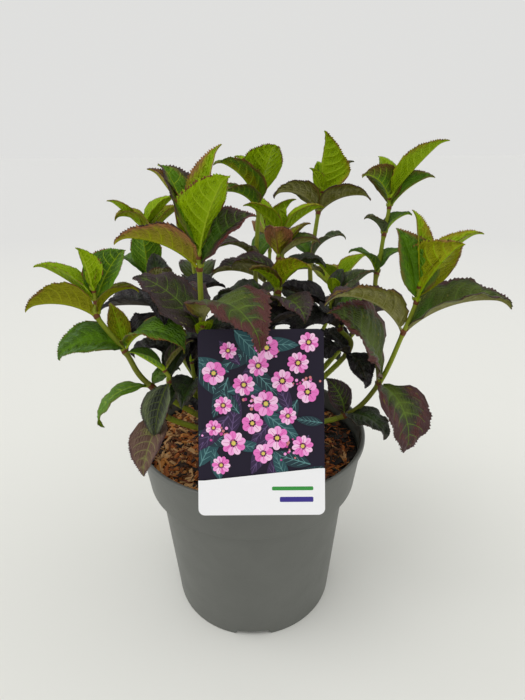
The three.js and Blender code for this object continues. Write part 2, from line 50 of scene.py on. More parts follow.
# Sizes of the pot
RIM_RADIUS = 110
RIM_INNER_RADIUS = 106.6
POT_HEIGHT = 191.2
LIP_HEIGHT = 6
COLLAR_BOTTOM = 142.4
COLLAR_BOTTOM_RADIUS = 102.6
BODY_TOP_RADIUS = 93.9
FOOT_RADIUS = 82.5
FOOT_RING_WIDTH = 8
FOOT_DISC_RADIUS = 22
FOOT_CLEARANCE = 5
WALL = 1.5
NOTCH_COUNT = 4
NOTCH_WIDTH = 38
NOTCH_SLANT = 4
POT_SIDES = 192
FLOOR_TOP = FOOT_CLEARANCE + 2 * WALL
LIP_BOTTOM = POT_HEIGHT - LIP_HEIGHT
LIP_OVERHANG = 2.6
LIP_ROUNDING = 1.7
INNER_ROUNDING = 1.2
LEDGE_ROUNDING = 0.9
POT_GREYS = [(0.3, (82, 84, 79)), (0.55, (86, 88, 83)), (0.8, (91, 93, 88))]

# Sizes of the potting mix, the stubs and the card
SOIL_TOP = 177
SOIL_EDGE_TOP = 172
SOIL_FLAT_RADIUS = 45
STUB_RADIUS = 6
STUB_HEIGHT = 26
CARD_WIDTH = 98
CARD_HEIGHT = 144
CARD_THICKNESS = 0.8
CARD_CORNER = 5
CARD_LEAN = 22.9
CARD_FOOT = (9.6, -114.7, 180.5)
TONGUE_WIDTH = 20

# Rules of the plant's growth
STEM_FOOT_RADIUS = 2.8
STEM_TIP_RADIUS = 1.5
BARE_SHARE = 0.86
SOLID_HALF_THICKNESS = 0.9
STALK_HALF_WIDTH = 1.3
SEED = 20260
BEND_BY_AGE = [14, 28, 72, 84, 90]
FOLD_BY_AGE = [38, 34, 28, 14, 4]
WIDE_BY_AGE = [0.46, 0.5, 0.54, 0.6, 0.62]
BEND_JITTER = 4
ROLL_JITTER = 5
TWIN_STEP = 0.4
NUDGE_STEP = 6
NUDGE_TRIES = 16
NUDGE_SHRINK = 0.025
SOLID_STATIONS = np.array([0, 0.1, 0.28, 0.5, 0.76, 1])
SOLID_PROFILE = np.array([0, 0, 0.82, 1, 0.58, 0])
MATCH_DISTANCE = 0.05
MATCHES_NEEDED = 3
END_BULGE = 0.6
JOINT_REACH = 2.2
JOINT_SWELL = 0.38
JOINT_RED_REACH = 1.8
SIDE_BUD = (4.5, 1.3)
TIP_BUD = (7, 1.9)

STUBS = {
    "left": (-26, -10),
    "front": (0, -28),
    "right": (26, -2),
    "back": (0, 26),
}

# Each shoot: its stub, how high it springs from it, and its joints from the lowest up. A joint has a place
# and its leaves, each with its heading, rise, length and tint, and where it has one with its own bend, roll,
# width or ripeness.
SHOOTS = {
    "left": ("left", 190, [
        ((-87, -32, 250), (-155, -31, 68, "grass", {"bend": 115, "roll": 8, "wide": 0.46}),
         (31, 20, 34, "green")),
        ((-105, -36, 285), (-150, 6, 63, "sheen", {"bend": 105, "roll": -25, "wide": 0.54}),
         (-20, 8, 74, "grass_edge", {"bend": 125, "wide": 0.6}),
         (125, 60, 44, "olive_edge", {"bend": 20, "wide": 0.42})),
        ((-123, -40, 318), (-158, 15, 56, "olive", {"bend": 60, "roll": 40, "wide": 0.58}),
         (20, 28, 46, "olive", {"bend": 95, "wide": 0.42})),
        ((-122, -40, 330), (50, 50, 51, "fresh", {"roll": 22, "wide": 0.6}),
         (-172, 39, 53, "lime", {"wide": 0.4})),
        ((-122, -42, 340), (-116, 76, 38, "lime", {"roll": 10, "wide": 0.46}), (60, 66, 26, "lime")),
    ]),
    "front": ("front", 198, [
        ((-38, -41, 298), (172, 44, 80, "dusk", {"bend": 60, "roll": -26, "wide": 0.55}),
         (30, 8, 58, "dark"), (-48, 54, 26, "lime")),
        ((-38, -42, 311), (-54, 4, 104, "plum", {"bend": 120, "wide": 0.52, "ripe": 0.55}),
         (128, 16, 62, "dusk")),
        ((-37, -45, 357), (-155, 25, 71, "blush", {"bend": 54, "roll": 35, "wide": 0.42}),
         (10, 43, 62, "dusk_red", {"bend": 45, "roll": 26, "wide": 0.6})),
        ((-37, -46, 367), (-48, 58, 74, "lime", {"roll": -12, "wide": 0.52}),
         (147, 65, 75, "lime_dusk", {"roll": -10, "wide": 0.5})),
        ((-36, -45, 380), (36, 74, 70, "lime_blush", {"roll": 15, "wide": 0.34}),
         (158, 54, 64, "blush", {"wide": 0.4})),
    ]),
    "right": ("right", 186, [
        ((91, 0, 200), (-44, -4, 56, "dark", {"bend": 90, "wide": 0.66}),
         (160, 60, 46, "dusk", {"bend": 50, "roll": -60, "wide": 0.52})),
        ((119, -8, 238), (-156, 56, 103, "plum", {"bend": 62, "roll": -44, "wide": 0.66}),
         (-66, -47, 84, "maroon", {"bend": 130, "roll": -4, "wide": 0.56, "ripe": 0.6})),
        ((135, -14, 292), (-157, 27, 98, "bronze", {"bend": 64, "roll": 14, "wide": 0.38}),
         (-7, 19, 98, "plum_green", {"bend": 64, "wide": 0.5, "ripe": 0.15})),
        ((143, -14, 320), (-40, 60, 65, "olive_edge", {"roll": -53, "wide": 0.68}),
         (158, 71, 66, "bronze_green", {"roll": -56, "wide": 0.54})),
        ((144, -14, 334), (115, 77, 64, "lime_edge", {"roll": 10, "wide": 0.3}),
         (5, 44, 68, "lime_edge", {"bend": 40, "wide": 0.32})),
    ]),
    "middle": ("back", 202, [
        ((4, 48, 300), (-160, 10, 50, "dark"), (20, 15, 52, "dusk")),
        ((5, 58, 340), (-143, 22, 58, "dusk"), (50, 22, 50, "green")),
        ((8, 65, 388), (-142, 24, 50, "bronze_green", {"bend": 70}), (-158, 47, 66, "grass_edge")),
        ((8, 66, 397), (-60, 58, 60, "lime", {"roll": -15, "wide": 0.6}),
         (140, 56, 50, "lime", {"wide": 0.4})),
        ((10, 66, 406), (-150, 60, 30, "lime"), (30, 55, 30, "lime")),
    ]),
    "upper": ("back", 205, [
        ((26, 22, 330), (0, 20, 50, "dark"), (180, 20, 50, "dusk")),
        ((29, 25, 372), (-170, 40, 44, "lime_edge"), (0, 35, 44, "lime_edge")),
        ((29, 25, 378), (-120, 70, 18, "lime"), (60, 70, 18, "lime")),
    ]),
    "back_middle": ("back", 196, [
        ((55, 68, 290), (-40, 5, 50, "dusk"), (140, 15, 50, "dark")),
        ((61, 80, 335), (-21, 40, 50, "grey_green"), (150, 30, 46, "green")),
        ((68, 90, 382), (-152, 21, 62, "bronze", {"bend": 78, "roll": 30, "wide": 0.44}),
         (-28, 18, 60, "bronze", {"bend": 66, "roll": -25, "wide": 0.46})),
        ((70, 90, 394), (-80, 77, 66, "lime_edge", {"roll": -68, "wide": 0.66}), (100, 70, 40, "lime")),
        ((71, 90, 403), (20, 42, 44, "grey_green", {"wide": 0.3}), (-160, 60, 26, "lime")),
    ]),
    "back_right": ("right", 196, [
        ((112, 45, 285), (-150, 5, 56, "dark"), (30, 10, 50, "dusk")),
        ((125, 60, 326), (-170, 40, 44, "green"), (0, 40, 42, "green")),
        ((130, 65, 364), (-168, 40, 30, "grey_green"), (5, 38, 35, "green")),
        ((134, 70, 389), (-156, 42, 52, "bronze_green", {"bend": 90, "roll": 30, "wide": 0.56}),
         (-10, 38, 50, "bronze_green", {"bend": 45, "roll": 25})),
        ((133, 70, 398), (-18, 50, 70, "lime_edge", {"roll": -6, "wide": 0.44}), (110, 60, 44, "lime")),
    ]),
    "back_left": ("left", 200, [
        ((-85, 35, 280), (-170, -5, 45, "grey_green"), (10, 15, 50, "dark")),
        ((-98, 45, 325), (-88, 74, 58, "fresh", {"bend": 20, "wide": 0.48}), (140, 20, 50, "green")),
        ((-100, 52, 362), (40, 34, 54, "olive_edge"), (-160, 40, 44, "olive_edge", {"bend": 130})),
        ((-100, 52, 374), (-166, 44, 40, "lime_edge", {"wide": 0.36}), (30, 40, 44, "lime")),
    ]),
    "small": ("front", 202, [
        ((23, -6, 312), (-62, 4, 58, "dusk", {"bend": 110, "wide": 0.62}), (170, 10, 60, "dark"),
         (-140, 0, 48, "night")),
        ((25, -4, 327), (-161, 42, 38, "rust_green"),
         (-30, 40, 44, "olive_edge", {"roll": -30, "wide": 0.62}),
         (-160, 45, 32, "lime", {"bend": 30, "wide": 0.56})),
        ((25, -6, 357), (-102, 55, 38, "rust", {"wide": 0.6, "ripe": 0.8}),
         (0, 22, 40, "plum", {"bend": 60}), (20, 46, 40, "rust_green", {"wide": 0.3})),
        ((25, -6, 366), (-151, 60, 20, "rust_green"), (35, 55, 20, "rust_green")),
    ]),
    "dark": ("right", 201, [
        ((92, 12, 262), (-150, 0, 52, "night", {"wide": 0.78}), (120, 5, 50, "night"),
         (-60, -30, 48, "night")),
        ((83, 8, 288), (-140, 5, 66, "night", {"bend": 90, "wide": 0.74}),
         (-30, 5, 56, "night", {"bend": 90})),
        ((73, 8, 306), (5, 45, 54, "grey_green"), (165, 20, 56, "night"), (-80, 15, 46, "night")),
        ((75, 8, 318), (-110, 65, 24, "lime"), (60, 50, 30, "dark")),
    ]),
    "inner_left": ("left", 202, [
        ((-62, 4, 262), (170, 0, 60, "night"), (-10, 25, 66, "night")),
        ((-71, 8, 290), (-110, 14, 66, "night"), (75, 15, 60, "night")),
        ((-78, 10, 310), (175, -2, 64, "night"), (-80, 5, 56, "night"), (0, 20, 60, "night")),
        ((-81, 12, 319), (110, 55, 44, "dark"), (-70, 50, 44, "dusk")),
    ]),
    "inner_front": ("front", 192, [
        ((3, -37, 262), (-165, 15, 54, "night"), (-90, -5, 40, "night"),
         (0, 15, 66, "night", {"wide": 0.74})),
        ((5, -42, 290), (-100, 34, 50, "night"), (85, 30, 50, "night")),
        ((8, -43, 306), (178, 25, 50, "night"), (30, 20, 50, "night")),
        ((9, -43, 315), (-70, 60, 34, "dusk"), (110, 60, 34, "dark")),
    ]),
    "low_left": ("left", 184, [
        ((-74, -50, 232), (-106, -35, 58, "low_purple", {"bend": 60, "wide": 0.5}), (63, 20, 40, "dark")),
        ((-67, -50, 264), (-112, -56, 50, "low_grey", {"bend": 60, "wide": 0.46}), (70, 30, 45, "dark")),
        ((-70, -51, 275), (-160, 40, 34, "green"), (20, 45, 34, "dusk")),
    ]),
    "low_inner": ("left", 197, [
        ((-48, -22, 226), (178, -5, 56, "dark"), (-70, 5, 40, "night")),
        ((-50, -24, 252), (-100, 0, 54, "dark"), (100, 25, 54, "night")),
        ((-52, -20, 268), (100, 45, 40, "night"), (-40, 25, 44, "night")),
    ]),
    "rear_left": ("back", 192, [
        ((-45, 70, 250), (-170, -10, 60, "dark"), (10, 5, 60, "night")),
        ((-60, 102, 296), (95, 10, 75, "plum_green"), (-85, 15, 60, "dark")),
        ((-66, 118, 330), (170, 20, 70, "bronze"), (-10, 20, 60, "bronze_green")),
        ((-67, 122, 342), (80, 60, 66, "lime_edge"), (-100, 60, 50, "lime")),
    ]),
    "rear": ("back", 188, [
        ((12, 85, 255), (150, -10, 60, "dark"), (-30, 5, 55, "night")),
        ((18, 120, 300), (-175, 10, 75, "dusk"), (5, 10, 72, "plum_green")),
        ((20, 138, 335), (90, 15, 78, "blush"), (-90, 25, 55, "bronze_green")),
        ((20, 140, 347), (150, 58, 64, "lime"), (-30, 58, 56, "lime_edge")),
    ]),
    "rear_right": ("back", 186, [
        ((62, 75, 235), (130, -15, 66, "grass"), (-50, 5, 50, "dark")),
        ((85, 102, 266), (30, 5, 76, "sheen"), (-150, 10, 52, "dark")),
        ((95, 115, 290), (110, 12, 72, "olive_edge"), (-70, 20, 50, "dusk")),
        ((97, 118, 300), (30, 40, 50, "lime_edge"), (-160, 45, 40, "lime")),
    ]),
    "low_back": ("back", 184, [
        ((-18, 72, 214), (130, -20, 70, "low_purple"), (-40, 10, 40, "dark")),
        ((-22, 88, 238), (75, -10, 72, "grass_edge"), (-110, 10, 45, "dark")),
    ]),
}

# Plain colours of the plant, as they show on a screen
COLOURS = {
    # lime_bright and lime are the young leaves' own yellow green made brighter: partly their colour, partly
    # painted light for the light that shines through them
    "lime_bright": (152, 184, 0),
    "lime": (138, 168, 0),
    "lime_soft": (148, 174, 34),
    "yellow_green": (146, 152, 12),
    "fresh": (88, 130, 0),
    "green": (68, 104, 8),
    "grass": (92, 132, 26),
    "pine": (46, 72, 22),
    "sheen": (96, 128, 74),
    "olive": (134, 134, 12),
    "olive_dull": (106, 106, 36),
    "khaki": (138, 136, 84),
    "olive_tan": (142, 132, 36),
    "tan": (152, 118, 62),
    "lime_brown": (142, 130, 20),
    "bronze": (116, 86, 38),
    "blush": (156, 108, 66),
    "rust": (148, 98, 64),
    "moss": (58, 72, 20),
    "dusk": (60, 52, 40),
    "moss_green": (82, 98, 30),
    "maroon": (88, 46, 42),
    "mauve": (112, 88, 76),
    "plum": (74, 45, 45),
    "wine": (112, 46, 46),
    "grape": (66, 52, 54),
    "shade": (44, 50, 36),
    "night": (42, 36, 40),
    "ink": (30, 27, 31),
    "grey_green": (104, 114, 78),
    "grey_dark": (70, 76, 60),
    "vein_lime": (160, 184, 34),
    "vein_green": (100, 124, 48),
    "vein_dull": (88, 100, 48),
    "stem_green": (138, 150, 44),
    "stem_olive": (124, 128, 46),
    "stem_brown": (92, 78, 42),
    "joint_red": (112, 66, 36),
    "tooth_warm": (124, 84, 40),
    "tooth_dark": (68, 42, 36),
}
# How many plain colours stand between two neighbours of a tint
BLENDS = 3

# Each tint: the upper side's colours from the middle to the margin and tip / the underside's / the colours of
# the veins above and below and of the teeth
TINTS = {
    "lime": "lime_bright lime lime lime / lime lime lime_bright lime_soft / vein_lime vein_lime tooth_warm",
    "lime_edge": ("lime_bright lime lime yellow_green lime_brown / lime lime lime yellow_green lime_brown / "
                  "vein_lime vein_lime tooth_warm"),
    "lime_blush": ("lime_bright lime yellow_green tan blush / lime lime yellow_green tan blush / "
                   "vein_lime vein_lime tooth_warm"),
    "lime_dusk": ("lime fresh fresh olive_dull dusk plum / lime lime olive bronze / "
                  "vein_lime vein_lime tooth_dark"),
    "fresh": "fresh green green fresh grass / fresh grass grass lime_soft / lime_soft lime_soft tooth_warm",
    "green": "fresh green green pine / grass grass grass olive_dull / vein_green lime_soft moss",
    "grass": ("fresh grass grass grass olive_dull / grass grass lime_soft olive_dull / "
              "lime_soft lime_soft olive_dull"),
    "grass_edge": ("fresh green green grass bronze / olive grass olive_dull bronze / "
                   "grass vein_lime tooth_warm"),
    "sheen": "fresh green sheen green grass / fresh grass lime_soft / grass vein_lime olive_dull",
    "olive": ("grass olive olive_dull bronze / olive olive olive olive bronze / "
              "vein_green yellow_green bronze"),
    "olive_edge": ("lime yellow_green olive olive tan / yellow_green yellow_green olive yellow_green tan / "
                   "lime lime tooth_warm"),
    "blush": ("olive olive_tan bronze rust plum / olive olive_tan olive_tan tan blush rust / "
              "yellow_green yellow_green tooth_dark"),
    "bronze": ("moss olive_dull bronze plum grape / olive_dull khaki olive_dull bronze / "
               "vein_dull khaki plum"),
    "bronze_green": ("fresh fresh green olive_dull bronze / grass olive_dull bronze / "
                     "grass lime_soft bronze"),
    "plum_green": ("green moss_green moss_green moss plum plum / khaki olive_dull grey_green / "
                   "vein_green khaki tooth_dark"),
    "plum": ("moss_green moss_green moss maroon maroon / khaki olive_dull bronze / "
             "vein_green khaki tooth_dark"),
    "maroon": ("moss_green moss dusk maroon plum plum / khaki olive_dull bronze / "
               "vein_green khaki tooth_dark"),
    "dusk": "moss dusk grape grape plum / olive_dull khaki bronze / vein_green khaki tooth_dark",
    "dusk_red": ("green moss dusk plum wine wine / grey_green olive_dull bronze / "
                 "vein_green vein_dull tooth_dark"),
    "rust": "olive olive_tan bronze rust rust / olive olive_tan bronze rust rust / bronze bronze plum",
    "rust_green": "fresh olive olive_dull bronze / olive olive_dull bronze rust / vein_green olive plum",
    "grey_green": ("pine moss grey_dark grey_green / grey_green grey_green blush / "
                   "vein_dull grey_green dusk"),
    # The dark tint is painted shade: a darker copy of the green tint, built on the colour named shade, for
    # leaves that lie in shade
    "dark": "pine shade shade dusk / grey_dark moss dusk / moss grey_dark dusk",
    "night": "shade night night ink / dusk night night / dusk dusk ink",
    "low_purple": "khaki mauve mauve mauve plum / olive_dull mauve plum / khaki olive_dull plum",
    "low_grey": ("shade grey_dark grey_green grey_dark dusk / grey_green moss dusk / "
                 "vein_dull vein_dull grape"),
}
STEM_COLOURS = ["stem_brown", "stem_olive", "stem_green"]
CRUMPLED = {"night": 1.0, "dark": 0.6, "rust": 0.5, "grey_green": 0.5, "dusk": 0.25}

# The fine form of a leaf
BLADE_START = 0.075
VEIN_PAIRS = 7
VEIN_LEAD = 0.34
VEIN_WIDTH = 0.7
ROWS_BETWEEN_VEINS = 7
BLADE_THICKNESS = 0.4
TOOTH_HEIGHT = 0.015
TOOTH_LEAD = 0.01
TEETH_COLOURED = 0.45
FEET_START = BLADE_START + 0.045
FEET_END = 0.965
LAST_ROW = 0.985
MARGIN_BEATS = (4.6, 2.1)
CREASE_WAVE = 9
CREASE_HEIGHT = 0.9
RIB_DEPTH = 0.2
TIP_START = 0.84
TIP_DROOP = 0.06
PATCH_WAVES = {26: 0.09, 9: 0.05}
FOLD_ROUNDING = 0.25
SPREADS = np.array([0, 0.1, 0.22, 0.35, 0.49, 0.63, 0.76, 0.87, 0.95, 1])
QUILT_HALF_WIDTH = 22
QUILT_BY_AGE = [0.7, 1.2, 1.5, 1.6, 1.5]
WAVE_BY_AGE = [0.02, 0.03, 0.05, 0.06, 0.07]
CRINKLE_BY_AGE = [0.2, 0.26, 0.3, 0.34, 0.34]
CRINKLE_WAVE = 4.4
RIPPLE_WAVE = 1.8
RIPPLE_HEIGHT = 0.0008
NET_SCALE = 420.0
NET_HEIGHT = 0.0008
WAVES_PER_UNIT = 2 * math.pi / 20


def linear(colour):
    """A screen colour of 0 to 255 as the linear colour that a shader takes"""
    share = np.array(colour) / 255
    low = share / 12.92
    high = ((share + 0.055) / 1.055) ** 2.4
    return tuple(np.where(share <= 0.04045, low, high)) + (1.0,)


def add_object(name, data):
    """A new object in the scene"""
    made = bpy.data.objects.new(name, data)
    bpy.context.scene.collection.objects.link(made)
    return made


class Heap:
    """Points and faces gathered for one joined piece, in millimetres"""

    def __init__(self):
        self.points = []
        self.corners = []
        self.totals = []
        self.looks = []
        self.smooth = []
        self.grain = []
        self.start = 0
        self.count = 0
        self.names = []

    def look(self, name):
        """The number of a material in this piece, which takes it in when it is new"""
        if name not in self.names:
            self.names.append(name)
        return self.names.index(name)

    def add(self, points, faces, looks, smooth=True, grain=(0, 0, 0)):
        """Faces is an array with one row of corners for each face, and looks a number or one for each face.
        Grain is where the points lie among the veins: out from the midrib, along it, and how rippled."""
        points = np.asarray(points, float).reshape(-1, 3)
        self.start = self.count
        self.count += len(points)
        self.points.append(points)
        self.grain.append(np.broadcast_to(np.asarray(grain, float), points.shape))
        self.join(faces, looks, smooth)

    def join(self, faces, looks, smooth=True):
        """More faces between the points that were added last"""
        faces = np.asarray(faces, int)
        self.corners.append((faces + self.start).ravel())
        self.totals.append(np.full(len(faces), faces.shape[1]))
        self.looks.append(np.broadcast_to(np.asarray(looks, int), len(faces)))
        self.smooth.append(np.full(len(faces), smooth))

    def build(self, name, materials, replaces=()):
        """One mesh object that rides on the root body"""
        mesh = bpy.data.meshes.new(name)
        points = np.concatenate(self.points) * MM
        corners = np.concatenate(self.corners)
        totals = np.concatenate(self.totals)
        mesh.vertices.add(len(points))
        mesh.vertices.foreach_set("co", points.ravel())
        mesh.loops.add(len(corners))
        mesh.loops.foreach_set("vertex_index", corners)
        mesh.polygons.add(len(totals))
        mesh.polygons.foreach_set("loop_start", np.cumsum(totals) - totals)
        mesh.polygons.foreach_set("loop_total", totals)
        mesh.polygons.foreach_set("material_index", np.concatenate(self.looks))
        mesh.polygons.foreach_set("use_smooth", np.concatenate(self.smooth))
        grain = mesh.attributes.new("grain", "FLOAT_VECTOR", "POINT")
        grain.data.foreach_set("vector", np.concatenate(self.grain).ravel())
        for look in self.names:
            mesh.materials.append(materials(look))
        mesh.update(calc_edges=True)
        mesh.validate()
        piece = add_object(name, mesh)
        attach(piece, "root")
        if replaces:
            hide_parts(*replaces)
        return piece


def around_circle(count):
    """Angles once round a circle"""
    return np.linspace(0, 2 * np.pi, count, endpoint=False)


def fan(count, middle, start=0):
    """The triangles between a ring of points, which begins at a number, and its middle point"""
    around = np.arange(count)
    return np.stack([np.full(count, middle), start + around, start + np.roll(around, -1)], -1)


def grid_faces(rows, columns, closed=False):
    """The quads of a grid of points, row by row; closed joins each row's last point to its first"""
    row = np.arange(rows - 1)[:, None]
    column = np.arange(columns if closed else columns - 1)[None, :]
    after = (column + 1) % columns
    low = row * columns
    high = low + columns
    return np.stack([low + column, low + after, high + after, high + column], -1).reshape(-1, 4)


def random_stream(seed):
    """The small random generator known as mulberry32, which the growth rule draws from"""
    state = seed

    def draw():
        nonlocal state
        state = (state + 0x6D2B79F5) & 0xFFFFFFFF
        value = ((state ^ (state >> 15)) * (1 | state)) & 0xFFFFFFFF
        value = ((value + (((value ^ (value >> 7)) * (61 | value)) & 0xFFFFFFFF)) & 0xFFFFFFFF) ^ value
        return (value ^ (value >> 14)) / 4294967296

    return draw


# Materials
def node(tree, kind, **values):
    """A shader node with these values: a name in small letters is a setting, any other one a socket"""
    made = tree.nodes.new("ShaderNode" + kind)
    for name, value in values.items():
        if name.islower():
            setattr(made, name, value)
        else:
            made.inputs[name.replace("_", " ")].default_value = value
    return made


def link(tree, *links):
    """Links between nodes, each from a node's output to a node's input"""
    for start, output, end, socket in links:
        tree.links.new(start.outputs[output], end.inputs[socket])


def new_material(name, colour, roughness, gloss):
    """A plain principled material, with its node tree and its shader for what is added"""
    material = bpy.data.materials.new(name)
    material.use_nodes = True
    shader = material.node_tree.nodes["Principled BSDF"]
    shader.inputs["Base Color"].default_value = linear(colour)
    shader.inputs["Roughness"].default_value = roughness
    shader.inputs["Specular IOR Level"].default_value = gloss
    return material, material.node_tree, shader


def noise_bump(tree, shader, layers, strength):
    """Bump made of noise layers, each a scale in waves a metre and a height in metres"""
    places = node(tree, "TexCoord")
    before = None
    for scale, height in layers:
        noise = node(tree, "TexNoise", Scale=scale, Detail=3.0, Roughness=0.6)
        bump = node(tree, "Bump", Strength=strength, Distance=height)
        link(tree, (places, "Object", noise, "Vector"), (noise, "Fac", bump, "Height"))
        if before:
            link(tree, (before, "Normal", bump, "Normal"))
        before = bump
    link(tree, (before, "Normal", shader, "Normal"))
    return places


def colour_ramp(tree, shader, source, output, colours):
    """Base colour from a node's output through a ramp of colours, each with its position"""
    ramp = node(tree, "ValToRGB")
    elements = ramp.color_ramp.elements
    while len(elements) < len(colours):
        elements.new(0.5)
    for element, (position, colour) in zip(elements, colours):
        element.position = position
        element.color = linear(colour)
    link(tree, (source, output, ramp, "Fac"), (ramp, "Color", shader, "Base Color"))


def grained(colours, roughness, gloss, layers, strength):
    """A maker of plain materials that share one grain, each by its colour's name"""

    @functools.cache
    def make(name):
        material, tree, shader = new_material(name, colours[name], roughness, gloss)
        noise_bump(tree, shader, layers, strength)
        return material

    return make


def plant_colour(name):
    """A named colour, or the blend that a name such as lime:olive:1 stands for"""
    if ":" not in name:
        return np.array(COLOURS[name], float)
    low, high, step = name.split(":")
    share = int(step) / (BLENDS + 1)
    return np.array(COLOURS[low]) * (1 - share) + np.array(COLOURS[high]) * share


def finer(names):
    """A row of colours with the blends between neighbours set in"""
    out = []
    for low, high in zip(names, names[1:]):
        out.append(low)
        out += [low if low == high else f"{low}:{high}:{step}" for step in range(1, BLENDS + 1)]
    return out + names[-1:]


def tint_colours(tint):
    """A tint's colours above and those below, and then its veins' above and below and its teeth's"""
    above, below, others = TINTS[tint].split(" / ")
    return above.split(), below.split(), *others.split()


@functools.cache
def plant_material(name):
    """A leaf or stem material of one plain colour, with ripples and the net of small veins as bump"""
    colour = plant_colour(name)
    gloss = float(np.interp(colour.mean(), [40, 90], [0.4, 0.14]))
    material, tree, shader = new_material("plant_" + name, colour, 0.5, gloss)
    places = node(tree, "TexCoord")
    cells = node(tree, "TexVoronoi", feature="DISTANCE_TO_EDGE", Scale=NET_SCALE, Randomness=1.0)
    warp = node(tree, "TexNoise", Scale=NET_SCALE, Detail=2.0)
    grain = node(tree, "Attribute", attribute_name="grain")
    parts = node(tree, "SeparateXYZ")
    waves = node(tree, "TexWave", Scale=WAVES_PER_UNIT / RIPPLE_WAVE, Distortion=4.0, Detail=2.0,
                 Detail_Scale=2.0)
    faded = node(tree, "Math", operation="MULTIPLY")
    ripples = node(tree, "Bump", Strength=1.0, Distance=RIPPLE_HEIGHT)
    net = node(tree, "Bump", Strength=0.7, Distance=NET_HEIGHT)
    fine = node(tree, "Bump", Strength=0.6, Distance=NET_HEIGHT)
    link(tree, (grain, "Vector", parts, "Vector"), (grain, "Vector", waves, "Vector"),
         (waves, "Fac", faded, 0), (parts, "Z", faded, 1), (faded, "Value", ripples, "Height"),
         (places, "Object", cells, "Vector"), (places, "Object", warp, "Vector"),
         (cells, "Distance", net, "Height"), (warp, "Fac", fine, "Height"),
         (ripples, "Normal", net, "Normal"), (net, "Normal", fine, "Normal"),
         (fine, "Normal", shader, "Normal"))
    return material


# The plant
BARK_COLOURS = {
    "bark": (104, 84, 58),
    "bark_dark": (72, 56, 40),
    "cut_wood": (150, 124, 84),
}
DARK_BARK_SHARE = 0.4
BARK_ROUGHNESS = 0.045
bark_material = grained(BARK_COLOURS, 0.85, 0.5, [(300, 0.001), (1100, 0.0004)], 0.7)


def stem_points(shoot):
    """A stem's foot on its stub and its joints"""
    stub, height, joints = shoot
    return np.array([(*STUBS[stub], height)] + [joint[0] for joint in joints], float)


def on_curve(points, shares):
    """Places on the smooth curve through the points, at shares from 0 to 1"""
    ends = np.vstack([2 * points[0] - points[1], points, 2 * points[-1] - points[-2]])
    along = np.clip(shares, 0, 1) * (len(points) - 1)
    cell = np.minimum(along.astype(int), len(points) - 2)
    t = (along - cell)[:, None]
    before, start, end, after = (ends[cell + step] for step in range(4))
    leave = 0.5 * (end - before)
    arrive = 0.5 * (after - start)
    square = -3 * start + 3 * end - 2 * leave - arrive
    cube = 2 * start - 2 * end + leave + arrive
    return start + leave * t + square * t**2 + cube * t**3


def stem_radii(shares):
    """A stem's radius at shares of its length"""
    return STEM_FOOT_RADIUS + (STEM_TIP_RADIUS - STEM_FOOT_RADIUS) * shares


def directions(places):
    """The way along a row of places, at each of them"""
    way = np.gradient(places, axis=0)
    return way / np.linalg.norm(way, axis=1, keepdims=True)


def tube(heap, places, radii, looks, sides=12, across=(1, 0, 0), relief=1, round_end=False):
    """A closed limb round a row of places. Looks gives a material for each step, relief a factor for each
    point's radius."""
    along = directions(places)
    first = np.array(across, float)
    first = first - along * (along @ first)[:, None]
    first /= np.linalg.norm(first, axis=1, keepdims=True)
    second = np.cross(along, first)
    angle = around_circle(sides)[None, :, None]
    way = np.cos(angle) * first[:, None] + np.sin(angle) * second[:, None]
    reach = np.broadcast_to(np.asarray(radii, float)[:, None], (len(places), sides)) * relief
    ring = places[:, None] + reach[..., None] * way
    heap.add(ring, grid_faces(len(places), sides, closed=True), np.repeat(looks[: len(places) - 1], sides))
    foot = np.vstack([ring[0], places[0]])
    heap.add(foot, fan(sides, sides)[:, ::-1], looks[0], smooth=False)
    bulge = along[-1] * radii[-1] * END_BULGE if round_end else 0
    heap.add(np.vstack([ring[-1], places[-1] + bulge]), fan(sides, sides), looks[-1], smooth=round_end)


def profile(s):
    """Half width of a blade as a share of its widest"""
    x = np.clip((s - 0.06) / 0.94, 0, 1)
    return 4.83 * x * (1 - x) ** 1.3


class Leaf:
    """One leaf: its place, its way and its shape, with the angles in radians"""

    def __init__(self, root, heading, rise, length, bend, fold, roll, wide, tint, age):
        self.root = np.array(root, float)
        self.heading = math.radians(heading)
        self.out = np.array([math.cos(self.heading), math.sin(self.heading), 0])
        self.rise = math.radians(rise)
        self.bend = math.radians(bend)
        self.lift = math.tan(math.radians(fold))
        self.roll = math.radians(roll)
        self.length = length
        self.half_width = length * wide / 2
        self.tint = tint
        self.age = age
        self.ripe = 0

    def frame(self, s):
        """Centre, side and normal of the blade at shares of its length"""
        angle = self.rise + self.bend * (0.5 - s)
        first = self.rise + self.bend / 2
        forward = self.length * (np.sin(first) - np.sin(angle)) / self.bend
        upward = self.length * (np.cos(angle) - np.cos(first)) / self.bend
        level = np.array([math.sin(self.heading), -math.cos(self.heading), 0])
        centre = self.root + forward[..., None] * self.out + upward[..., None] * UPRIGHT
        up = np.cos(angle)[..., None] * UPRIGHT - np.sin(angle)[..., None] * self.out
        side = level * math.cos(self.roll) - up * math.sin(self.roll)
        normal = up * math.cos(self.roll) + level * math.sin(self.roll)
        return centre, side, normal

    def solid_corners(self):
        """The corners of the solid that stands for this leaf, by the rule that made it"""
        middle = (SOLID_STATIONS[1:] + SOLID_STATIONS[:-1]) / 2
        angle = self.rise + self.bend * (0.5 - middle)
        step = np.diff(SOLID_STATIONS) * self.length
        out = np.concatenate([[0], np.cumsum(step * np.cos(angle))])
        up = np.concatenate([[0], np.cumsum(step * np.sin(angle))])
        centre = self.root + out[:, None] * self.out + up[:, None] * UPRIGHT
        _, side, normal = self.frame(SOLID_STATIONS)
        half = np.maximum(self.half_width * SOLID_PROFILE, STALK_HALF_WIDTH)[:, None]
        lift = np.where(SOLID_PROFILE[:, None] > 0, half * self.lift, 0)
        edges = [centre + sign * side * half + normal * lift for sign in (1, -1)]
        faces = [centre + sign * normal * SOLID_HALF_THICKNESS for sign in (1, -1)]
        return np.vstack([group[:-1] for group in edges + faces] + [centre[-1:]])


